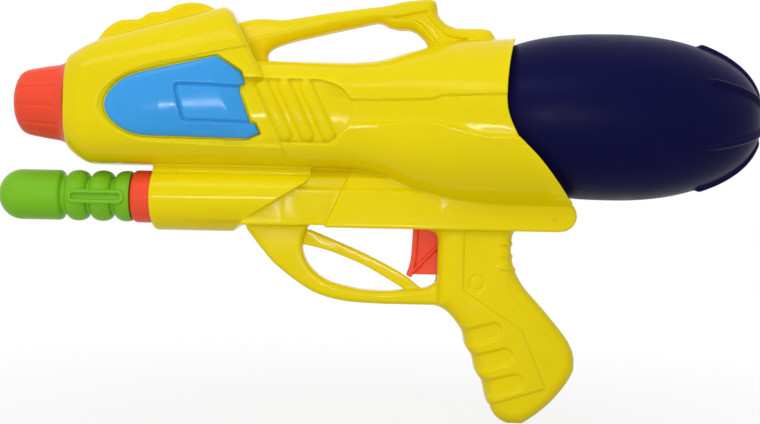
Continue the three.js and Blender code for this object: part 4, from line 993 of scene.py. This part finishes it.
def screw_field(b):
    """A pan-head screw about the Y axis at the origin, its head's seat at Y = 0."""
    radius = np.hypot(b.x, b.z)
    turn = np.arctan2(b.z, b.x) / (2 * math.pi)
    ridge = np.abs((b.y / SHANK_PITCH - turn) % 1 - 0.5) * 2
    taper = np.clip((b.y + SHANK_LONG) / SHANK_TAPER, 0, 1)
    shank = radius - SHANK_R - SHANK_RIDGE * ridge * taper
    shank = np.maximum(shank, between(b.y, -SHANK_LONG, 0.5))
    head = smax(radius - SCREW_HEAD_R, between(b.y, 0, HEAD_HIGH), soft=0.8)
    head = smax(head, np.sqrt(radius ** 2 + (b.y + DOME_DROP) ** 2) - DOME_R, soft=0.4)
    x, z = np.abs(b.x), np.abs(b.z)
    arm = np.maximum(x - CROSS_HALF, z - CROSS_REACH)
    cross = np.minimum(arm, np.maximum(z - CROSS_HALF, x - CROSS_REACH))
    return np.maximum(np.minimum(shank, head), -np.maximum(cross, CROSS_FLOOR - b.y))


# Turned pieces: nozzle, end cap, rod and tank
def ring_faces(rings, sides):
    """Faces between rings of points that follow each other; a ring can be a single point."""
    faces = []
    for near, far in zip(rings, rings[1:]):
        if len(near) == 1 and len(far) == 1:
            continue
        for k in range(sides):
            n = (k + 1) % sides
            if len(near) == 1:
                faces.append((near[0], far[n], far[k]))
            elif len(far) == 1:
                faces.append((near[k], near[n], far[0]))
            else:
                faces.append((near[k], near[n], far[n], far[k]))
    return faces


def smooth_solid(name, points, faces, sharp):
    made = solid_from(name, points, faces)
    mesh = made.data
    mesh.polygons.foreach_set("use_smooth", np.ones(len(mesh.polygons), bool))
    mesh.set_sharp_from_angle(angle=math.radians(sharp))
    return made


def even_angles(sides):
    return 2 * math.pi * np.arange(sides) / sides


def turned(name, profile, axis_z, angles, change=None, changed=None, sharp=35):
    """A path of (x, radius) turned about an axis along X. For its first points, as many as changed says or
    all, change(x, radius, angles) gives how far they move along X and their radii."""
    sides = len(angles)
    points, rings = [], []
    for i, (x, r) in enumerate(profile):
        if r <= 1e-6:
            rings.append([len(points)])
            points.append((x, 0, axis_z))
            continue
        moved, radii = 0, np.full(sides, r)
        if change and (changed is None or i < changed):
            moved, radii = change(x, r, angles)
        rings.append(range(len(points), len(points) + sides))
        places = np.full(sides, x) + moved
        points.extend(zip(places, -radii * np.sin(angles), axis_z + radii * np.cos(angles)))
    if np.allclose(profile[0], profile[-1]):
        rings[-1] = rings[0]
        points = points[:len(points) - sides]
    return smooth_solid(name, points, ring_faces(rings, sides), sharp)


GROOVES = 12
GROOVE_SINK = 0.6
GROOVE_WIDTH = 0.9
GROOVE_TURN = 0.1
GROOVE_ENDS = (-200.5, -175.0)
GROOVE_FADE = 3.0
SKIRT_X = -174.0  # no grooves behind here, nor on the bore
BORE_MOST_R = 15.0


def nozzle_grooves(x, r, angles):
    """Narrow grooves along the nozzle's skin."""
    if r < BORE_MOST_R or x > SKIRT_X:
        return 0, np.full(len(angles), r)
    start, end = GROOVE_ENDS
    span = np.clip((x - start) / GROOVE_FADE, 0, 1) * np.clip((end - x) / GROOVE_FADE, 0, 1)
    sector = 2 * math.pi / GROOVES
    across = np.abs((angles + GROOVE_TURN) % sector - sector / 2) * r
    return 0, r - GROOVE_SINK * span * np.exp(-(across / GROOVE_WIDTH) ** 2)


NOZZLE_PROFILE = [
    (-203.6, 5.2), (-203.4, 6.6), (-202.9, 9.0), (-202.0, 11.8), (-200.9, 14.2), (-199.7, 16.0),
    (-198.4, 17.1), (-196.6, 18.0), (-194.8, 18.5), (-192.8, 18.9), (-190.8, 19.25), (-187.8, 19.8),
    (-184.8, 20.3), (-181.6, 20.75), (-179, 21.15), (-177.2, 21.7), (-175.8, 22.3), (-174.4, 23.3),
    (-173.2, 24.4), (-172.3, 25.3), (-172.0, 25.5), (-172.0, 20.0), (-170.5, 20.0), (-170.5, 22.5),
    (-168, 22.5), (-168, 6.8), (-174.5, 6.8), (-174.5, 10.6), (-197.4, 10.6), (-200.6, 5.6),
    (-203.2, 4.7), (-203.6, 5.2),
]
CAP_END = TUBE_X + 14
CAP_BORE = CYLINDER_R + GAP
CAP_HOLE = ROD_R + GAP
CAP_PROFILE = [
    (CAP_X, CAP_HOLE), (CAP_X, CAP_R - 3), (CAP_X + 0.2, CAP_R - 1.9), (CAP_X + 0.8, CAP_R - 0.9),
    (CAP_X + 1.8, CAP_R - 0.25), (CAP_X + 3, CAP_R), (CAP_END, CAP_R), (CAP_END, CAP_BORE),
    (CAP_X + 3, CAP_BORE), (CAP_X + 3, CAP_HOLE), (CAP_X, CAP_HOLE),
]
ROD_X = -184.0
ROD_NECK_X = -63.5
ROD_NECK_R = 2.4
ROD_END = -56.7
ROD_PROFILE = [
    (ROD_X, 0), (ROD_X, ROD_R - 0.4), (ROD_X + 0.4, ROD_R), (ROD_NECK_X, ROD_R), (ROD_NECK_X, ROD_NECK_R),
    (ROD_END, ROD_NECK_R), (ROD_END, 0),
]

TANK_RIBS = 7
TANK_RIB = 2.4
TANK_RIB_WIDTH = 4.4
RIB_START = BELLY_X + TANK_TAIL * 0.548
RIB_END = BELLY_X + TANK_TAIL * 0.985
RIB_RISE = 2.4
RIB_FALL = 0.6
RIB_LEAST_R = 6.0
RIB_LIFT = 0.5
NECK_BORE = NECK_R - 2.5
NECK_END = 46.0
THREAD_START = 33.6
THREAD_PITCH = 4.0
THREAD_TURNS = 1.5
THREAD_HEIGHT = 1.2
THREAD_FOOT = 0.85
THREAD_FLANK = 0.45


def tank_skin(grow, steps, least):
    """Half section of the tank's egg shape, grown or shrunk, without its front inside the neck's radius."""
    path = []
    for t in np.linspace(0, math.pi, steps):
        reach = (TANK_FRONT if t < math.pi / 2 else TANK_TAIL) + grow
        x = BELLY_X - reach * math.copysign(abs(math.cos(t)) ** 0.8, math.cos(t))
        path.append((x, float(tank_radius(np.float64(x), grow))))
    path = [p for p in path if p[1] > least or p[0] > BELLY_X]
    path[-1] = (path[-1][0], 0)
    return path


def tank_profile():
    """The tank's outside from neck to tail, and its inside back to the neck."""
    outer = tank_skin(0, 150, NECK_R + 0.6)
    inner = tank_skin(-TANK_WALL, 60, NECK_BORE + 0.6)
    neck = [(NECK_X, NECK_BORE), (NECK_X, NECK_R - 0.5), (NECK_X + 0.5, NECK_R)]
    neck += [(x, NECK_R) for x in np.arange(NECK_X + 1, outer[0][0] - 1.2, 0.35)]
    return neck + outer, inner[::-1] + [(inner[0][0] - 0.5, NECK_BORE), (NECK_X, NECK_BORE)]


def thread_ridge(x, angles):
    """The neck's thread at a place along it, from 0 at its foot to 1 on its crest."""
    along = (x - THREAD_START) / THREAD_PITCH
    turn = (math.pi / 2 - angles) / (2 * math.pi) % 1
    ridge = np.zeros(len(angles))
    for lap in (-1, 0, 1, 2):
        place = turn + lap
        off = np.abs(along - place) * THREAD_PITCH
        on = (place >= 0) & (place <= THREAD_TURNS)
        ridge = np.maximum(ridge, np.where(on, np.clip((THREAD_FOOT - off) / THREAD_FLANK, 0, 1), 0))
    return ridge


def tank_relief(x, r, angles):
    """The neck's thread and the ribs on the tail."""
    if x < NECK_END and r <= NECK_R + 0.01:
        return 0, r + THREAD_HEIGHT * thread_ridge(x, angles)
    if x < RIB_START or r < RIB_LEAST_R:
        return 0, np.full(len(angles), r)
    sector = 2 * math.pi / TANK_RIBS
    off = (angles + math.pi / 2 + sector / 2) % sector - sector / 2
    across = np.abs(r * np.sin(off))
    bead = np.clip(1 - (across / (TANK_RIB_WIDTH / 2)) ** 2, 0, 1)
    ramp = np.sqrt(np.clip((x - RIB_START) / RIB_RISE, 0, 1)) * np.clip((RIB_END - x) / RIB_FALL, 0, 1)
    radii = r + TANK_RIB * bead * ramp
    return RIB_LIFT * (radii - r) * (x - RIB_START) / (RIB_END - RIB_START), radii


def rib_angles(sides_each):
    """Angles round the tank, closer together at its ribs."""
    u = np.linspace(-1, 1, sides_each, endpoint=False)
    sector = 2 * math.pi / TANK_RIBS
    base = (0.2 * u + 0.8 * u ** 3) * sector / 2
    return np.concatenate([base + k * sector - math.pi / 2 for k in range(TANK_RIBS)])


# Valve spring
SPRING_WIRE = 0.4
SPRING_TURNS = 4


def coil_spring(name, low, high, turn_steps, sides):
    """A round wire wound along X to fill a box, its first and last half turns flat."""
    total = 2 * math.pi * SPRING_TURNS
    coil = (high[2] - low[2]) / 2 - SPRING_WIRE
    middle_z = (low[2] + high[2]) / 2
    points, rings = [], []
    for turn in np.linspace(0, total, SPRING_TURNS * turn_steps + 1):
        share = min(1, max(0, (turn - math.pi) / (total - 2 * math.pi)))
        x = low[0] + SPRING_WIRE + (high[0] - low[0] - 2 * SPRING_WIRE) * share
        rings.append(range(len(points), len(points) + sides))
        for angle in even_angles(sides)[::-1]:
            radius = coil + SPRING_WIRE * math.cos(angle)
            across = SPRING_WIRE * math.sin(angle)
            points.append((x + across, radius * math.cos(turn), middle_z + radius * math.sin(turn)))
    faces = ring_faces(rings, sides) + [tuple(rings[0][::-1]), tuple(rings[-1])]
    return smooth_solid(name, points, faces, 60)


# Materials: moulded plastics with a fine grain, slow colour drift, paler worn edges, and painted shade that
# darkens their creases
NOISE_SPAN = (0.3, 0.7)  # the part of a noise's range that is used
WORN_SHARE = 0.25
WORN_TONE = 1.3
# Painted shade in creases: how much of it, and how dark it makes the colour
PAINTED_SHADE_SHARE = 0.35
PAINTED_SHADE_TONE = 0.55
GRAIN_HEIGHT = 0.0002
WAVE_HEIGHT = 0.0016
FINE_HEIGHT = 0.0001
BRUSHED = (1, 6, 1)


def linear(hex_colour):
    parts = [int(hex_colour[i:i + 2], 16) / 255 for i in (0, 2, 4)]
    return tuple(c / 12.92 if c <= 0.04045 else ((c + 0.055) / 1.055) ** 2.4 for c in parts) + (1,)


def scaled(colour, by):
    return tuple(min(1, c * by) for c in colour[:3]) + (1,)


class Nodes:
    """A material's nodes, with its shader and the coordinates of the piece it is on."""
    def __init__(self, name):
        self.material = bpy.data.materials.new(name)
        self.material.use_nodes = True
        self.tree = self.material.node_tree
        self.shader = self.tree.nodes["Principled BSDF"]
        self.place = self.add("ShaderNodeTexCoord").outputs["Object"]

    def feed(self, node, inputs):
        """Gives each input a value, or what another node puts out."""
        for key, value in inputs.items():
            if isinstance(value, bpy.types.NodeSocket):
                self.tree.links.new(value, node.inputs[key])
            else:
                node.inputs[key].default_value = value

    def add(self, kind, inputs=None, **settings):
        node = self.tree.nodes.new(kind)
        for key, value in settings.items():
            setattr(node, key, value)
        self.feed(node, inputs or {})
        return node

    def noise(self, scale, detail=2.0, stretch=None):
        place = self.place
        if stretch:
            place = self.add("ShaderNodeMapping", {"Scale": stretch, "Vector": place}).outputs["Vector"]
        node = self.add("ShaderNodeTexNoise", {"Scale": scale, "Detail": detail, "Vector": place})
        return node.outputs["Fac"]

    def span(self, source, low, high, start=0.0, end=1.0):
        inputs = {"Value": source, "From Min": start, "From Max": end, "To Min": low, "To Max": high}
        return self.add("ShaderNodeMapRange", inputs).outputs["Result"]

    def mix(self, factor, first, second):
        node = self.add("ShaderNodeMix", data_type="RGBA")
        self.feed(node, {"Factor": factor, 6: first, 7: second})
        return node.outputs[2]

    def bump(self, height, strength, distance, normal=None):
        node = self.add("ShaderNodeBump", {"Strength": strength, "Distance": distance, "Height": height})
        if normal:
            self.feed(node, {"Normal": normal})
        return node.outputs["Normal"]

    def field(self, name):
        return self.add("ShaderNodeAttribute", attribute_name=name).outputs["Fac"]


def plastic(name, colour, rough, gloss, drift=0.06, grain=900, grain_depth=0.12, wave=0.1):
    """A moulded plastic. The drift is of its colour, the wave of its surface."""
    n = Nodes(name)
    base = linear(colour)
    slow = n.span(n.noise(14, 3.0, (1.0, 1.0, 2.2)), 0, 1, *NOISE_SPAN)
    tone = n.mix(slow, scaled(base, 1 - drift), scaled(base, 1 + drift))
    tone = n.mix(n.span(n.field("edge"), 0, WORN_SHARE, 0.08, 0.45), tone, scaled(base, WORN_TONE))
    # Painted shade: creases are darkened
    tone = n.mix(n.span(n.field("crease_shade"), 0, PAINTED_SHADE_SHARE, 0.1, 0.7), tone, scaled(base, PAINTED_SHADE_TONE))
    fine = n.bump(n.noise(grain, 2.0), grain_depth, GRAIN_HEIGHT)
    n.feed(n.shader, {
        "Base Color": tone,
        "Roughness": n.span(n.noise(60, 4.0), rough - 0.05, rough + 0.07, *NOISE_SPAN),
        "Normal": n.bump(n.noise(22, 1.0), wave, WAVE_HEIGHT, fine),
        "Specular IOR Level": gloss,
    })
    return n.material


def clear_vinyl(name):
    n = Nodes(name)
    base = linear("DCE0D8")
    n.feed(n.shader, {
        "Base Color": n.mix(n.span(n.noise(90, 2.0), 0, 1, *NOISE_SPAN), base, scaled(base, 0.9)),
        "Roughness": n.span(n.noise(200, 2.0), 0.14, 0.26, *NOISE_SPAN),
        "Normal": n.bump(n.noise(500, 1.0), 0.1, FINE_HEIGHT),
        "Transmission Weight": 0.45,
        "IOR": 1.45,
    })
    return n.material


def bright_steel(name):
    n = Nodes(name)
    base = linear("B9BCC0")
    n.feed(n.shader, {
        "Base Color": n.mix(n.span(n.noise(300, 3.0), 0, 1, 0.35, 0.65), base, scaled(base, 0.78)),
        "Roughness": n.span(n.noise(700, 3.0, BRUSHED), 0.24, 0.42, *NOISE_SPAN),
        "Normal": n.bump(n.noise(1600, 2.0, BRUSHED), 0.15, FINE_HEIGHT),
        "Metallic": 1.0,
    })
    return n.material


MATERIALS = {
    "yellow_plastic": plastic("yellow_plastic", "F3DB04", 0.1, 0.1, drift=0.03),
    "orange_plastic": plastic("orange_plastic", "FF5437", 0.34, 0.12),
    "blue_plastic": plastic("blue_plastic", "3C9FEA", 0.12, 0.14),
    "green_plastic": plastic("green_plastic", "80C628", 0.3, 0.1, grain_depth=0.06),
    "navy_plastic": plastic("navy_plastic", "0D0B3C", 0.36, 0.05, drift=0.12, grain_depth=0.03, wave=0.03),
    "white_plastic": plastic("white_plastic", "E9E7E0", 0.42, 0.3),
    "clear_hose": clear_vinyl("clear_hose"),
    "black_rubber": plastic("black_rubber", "212123", 0.7, 0.3, drift=0.2, grain=1400, grain_depth=0.3),
    "spring_steel": bright_steel("spring_steel"),
}


def fitted(made, body, slot, *nodes):
    made.data.materials.clear()
    made.data.materials.append(MATERIALS[slot])
    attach(made, body)
    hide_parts(*nodes)


# Shell halves: the left one is the right one's mirror image, without screw holes and with a sink mark
SINK_MARK = (96.6, 21.2, 114.8)
SINK_MARK_R = 3.7
JOINT_Y = 0.02  # where each half ends, just off the middle plane
shell_step = 0.7 if FINE else 1.5
shell_triangles = 120000 if FINE else 60000
space = Block((-177, -3 * shell_step, -3), (116, 50, 239), shell_step)
half, whole = shell_field(space)
joint_face = JOINT_Y - space.y
off_x, off_y, off_z = [axis - c for axis, c in zip((space.x, space.y, space.z), SINK_MARK)]
sink_mark = np.sqrt(off_x ** 2 + off_y ** 2 + off_z ** 2) - SINK_MARK_R
plain = np.maximum(np.maximum(half, -sink_mark), joint_face)
left = moulded("moulded_left_shell", space, plain, shell_triangles, True, whole)
drilled = np.maximum(screw_holes(space, half), joint_face)
right = moulded("moulded_right_shell", space, drilled, shell_triangles, False, whole)
del half, whole, plain, drilled, sink_mark
fitted(left, "body", "yellow_plastic", "left_shell")
fitted(right, "body", "yellow_plastic", "right_shell")

# Other moulded pieces
space = Block((-150, 16, 150), (-61, 37, 201), 0.4 if FINE else 0.7)
panel = panel_field(space)
for side, mirrored in (("left", True), ("right", False)):
    made = moulded(f"moulded_{side}_panel", space, panel, 24000, mirrored)
    fitted(made, "body", "blue_plastic", f"{side}_side_panel")

space = Block((12, -7, 78), (40, 7, 132), 0.35 if FINE else 0.6)
made = moulded("moulded_trigger", space, trigger_field(space), 24000)
fitted(made, "trigger", "orange_plastic", "trigger")
space = Block((-214, -16, 106), (-136, 16, 139), 0.5 if FINE else 0.8)
made = moulded("ribbed_pump_handle", space, handle_field(space), 40000)
fitted(made, "pump", "green_plastic", "pump_handle")

# Turned pieces
made = turned("fluted_nozzle", NOZZLE_PROFILE, NOZZLE_Z, even_angles(240), nozzle_grooves)
fitted(made, "body", "orange_plastic", "nozzle_cap")
made = turned("round_end_cap", CAP_PROFILE, PUMP_Z, even_angles(96))
fitted(made, "body", "orange_plastic", "pump_end_cap")
made = turned("round_pump_rod", ROD_PROFILE, PUMP_Z, even_angles(48))
fitted(made, "pump", "white_plastic", "pump_rod")
outer, inner = tank_profile()
made = turned("ribbed_tank", outer + inner, TANK_Z, rib_angles(36), tank_relief, len(outer), 80)
fitted(made, "tank", "navy_plastic", "tank")

# Screws, all copies of one
space = Block((-4, -11, -4), (4, 3, 4), 0.2 if FINE else 0.35)
screw = moulded("pan_head_screw", space, screw_field(space), 7000)
for i, (x, z) in enumerate(SCREWS):
    made = placed(f"pan_head_screw_{i + 1}", screw.data.copy())
    made.data.transform(Matrix.Translation((x * MM, (SCREW_SEAT + GAP) * MM, z * MM)))
    fitted(made, "body", "spring_steel", f"shell_screw_{i + 1}")
bpy.data.objects.remove(screw)

# The valve's spring, which shortens as the trigger pushes the plunger
low, high = [np.array(corner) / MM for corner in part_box("valve_spring")]
spring = coil_spring("coiled_valve_spring", low, high, 32, 12)
fitted(spring, "body", "spring_steel", "valve_spring")
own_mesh(spring)

# Other inner pieces keep their solids
slots = {n: m["slot"] for m in frame["record"]["materials"] for n in m.get("nodes", [])}
for name, node in frame["nodes"].items():
    if slots.get(name) in MATERIALS:
        node.data.materials.clear()
        node.data.materials.append(MATERIALS[slots[name]])

# Stage: a pale floor, a soft room, lamps and the photograph's camera, in metres
FLOOR_Z = -0.0005
FLOOR_HALF = 6.0
FLOOR_GREY = 0.55
FLOOR_GLOW = (0.86, 1.0)  # by the part and away from it, as the camera sees it
FLOOR_GLOW_REACH = (0.1, 0.45)
ROOM_LIGHT = 0.5
ROOM_SEEN = 1.0
WHITE = (1, 1, 1, 1)


def seen_directly(tree):
    """1 for rays from the camera, straight or by way of a mirror or a clear piece, and 0 for others."""
    path = tree.nodes.new("ShaderNodeLightPath")
    seen = path.outputs["Is Camera Ray"]
    for ray in ("Is Glossy Ray", "Is Transmission Ray"):
        either = tree.nodes.new("ShaderNodeMath")
        either.operation = "MAXIMUM"
        tree.links.new(seen, either.inputs[0])
        tree.links.new(path.outputs[ray], either.inputs[1])
        seen = either.outputs[0]
    return seen


def stage_material():
    """A floor that is seen as near white, and is grey to the light that falls on it."""
    n = Nodes("pale_stage")
    grey = (FLOOR_GREY, FLOOR_GREY, FLOOR_GREY, 1)
    n.feed(n.shader, {"Base Color": grey, "Roughness": 0.8, "Specular IOR Level": 0.0})
    far = n.add("ShaderNodeVectorMath", {0: n.place}, operation="LENGTH").outputs["Value"]
    pale = n.span(far, *FLOOR_GLOW, *FLOOR_GLOW_REACH)
    share = n.add("ShaderNodeMath", {0: seen_directly(n.tree), 1: pale}, operation="MULTIPLY")
    glow = n.add("ShaderNodeEmission", {"Color": WHITE})
    blend = n.add("ShaderNodeMixShader")
    n.feed(blend, {i: node.outputs[0] for i, node in enumerate((share, n.shader, glow))})
    n.feed(n.tree.nodes["Material Output"], {"Surface": blend.outputs[0]})
    return n.material


corners = [(x * FLOOR_HALF / MM, y * FLOOR_HALF / MM, FLOOR_Z / MM)
           for x, y in ((-1, -1), (1, -1), (1, 1), (-1, 1))]
floor = solid_from("floor", corners, [(0, 1, 2, 3)])
floor.data.materials.append(stage_material())

world = bpy.data.worlds.new("soft_room")
world.use_nodes = True
bpy.context.scene.world = world
tree = world.node_tree
room = tree.nodes["Background"]
room.inputs["Color"].default_value = WHITE
level = tree.nodes.new("ShaderNodeMapRange")
level.inputs["To Min"].default_value = ROOM_LIGHT
level.inputs["To Max"].default_value = ROOM_SEEN
tree.links.new(seen_directly(tree), level.inputs["Value"])
tree.links.new(level.outputs["Result"], room.inputs["Strength"])


def soft_lamp(name, place, aim, size, power, mirrored=True):
    data = bpy.data.lights.new(name, "AREA")
    data.shape = "RECTANGLE"
    data.size, data.size_y = size
    data.energy = power
    lamp = placed(name, data)
    lamp.visible_glossy = mirrored
    place, aim = np.array(place, float), np.array(aim, float)
    back = (place - aim) / np.linalg.norm(place - aim)
    right = np.cross((0, 0, 1), back)
    right /= np.linalg.norm(right)
    turn = np.stack([right, np.cross(back, right), back], 1)
    lamp.matrix_world = Matrix([[*row, p] for row, p in zip(turn, place)] + [[0, 0, 0, 1]])


soft_lamp("front", place=(-0.14, -1.1, 0.135), aim=(0, 0, 0.13), size=(0.46, 0.03), power=3.2)
soft_lamp("key", place=(-0.5, -0.85, 1.05), aim=(-0.04, 0, 0.15), size=(1.2, 0.3), power=3.8)
# These two light the part but don't show as white rims on it
soft_lamp("overhead", place=(0.1, 0.15, 1.4), aim=(0, 0, 0.1), size=(1.2, 0.3), power=2.8, mirrored=False)
soft_lamp("back_fill", place=(0.2, 1.2, 0.75), aim=(0, 0, 0.12), size=(1.4, 0.2), power=6, mirrored=False)

CAMERA_BACK = 0.680
CAMERA_X = 0.00087
CAMERA_Z = 0.1166
MM_PER_PIXEL = 0.56
PIXELS = 760
SENSOR = 36
ROLL = math.radians(1.2)
camera_data = bpy.data.cameras.new("camera")
camera_data.sensor_width = SENSOR
camera_data.lens = SENSOR * CAMERA_BACK / (PIXELS * MM_PER_PIXEL * MM)
camera = placed("camera", camera_data)
cosine, sine = math.cos(ROLL), math.sin(ROLL)
camera.matrix_world = Matrix((
    (cosine, -sine, 0, CAMERA_X),
    (0, 0, -1, -CAMERA_BACK),
    (sine, cosine, 0, CAMERA_Z),
    (0, 0, 0, 1),
))
bpy.context.scene.camera = camera
bpy.context.scene.view_settings.view_transform = "Standard"
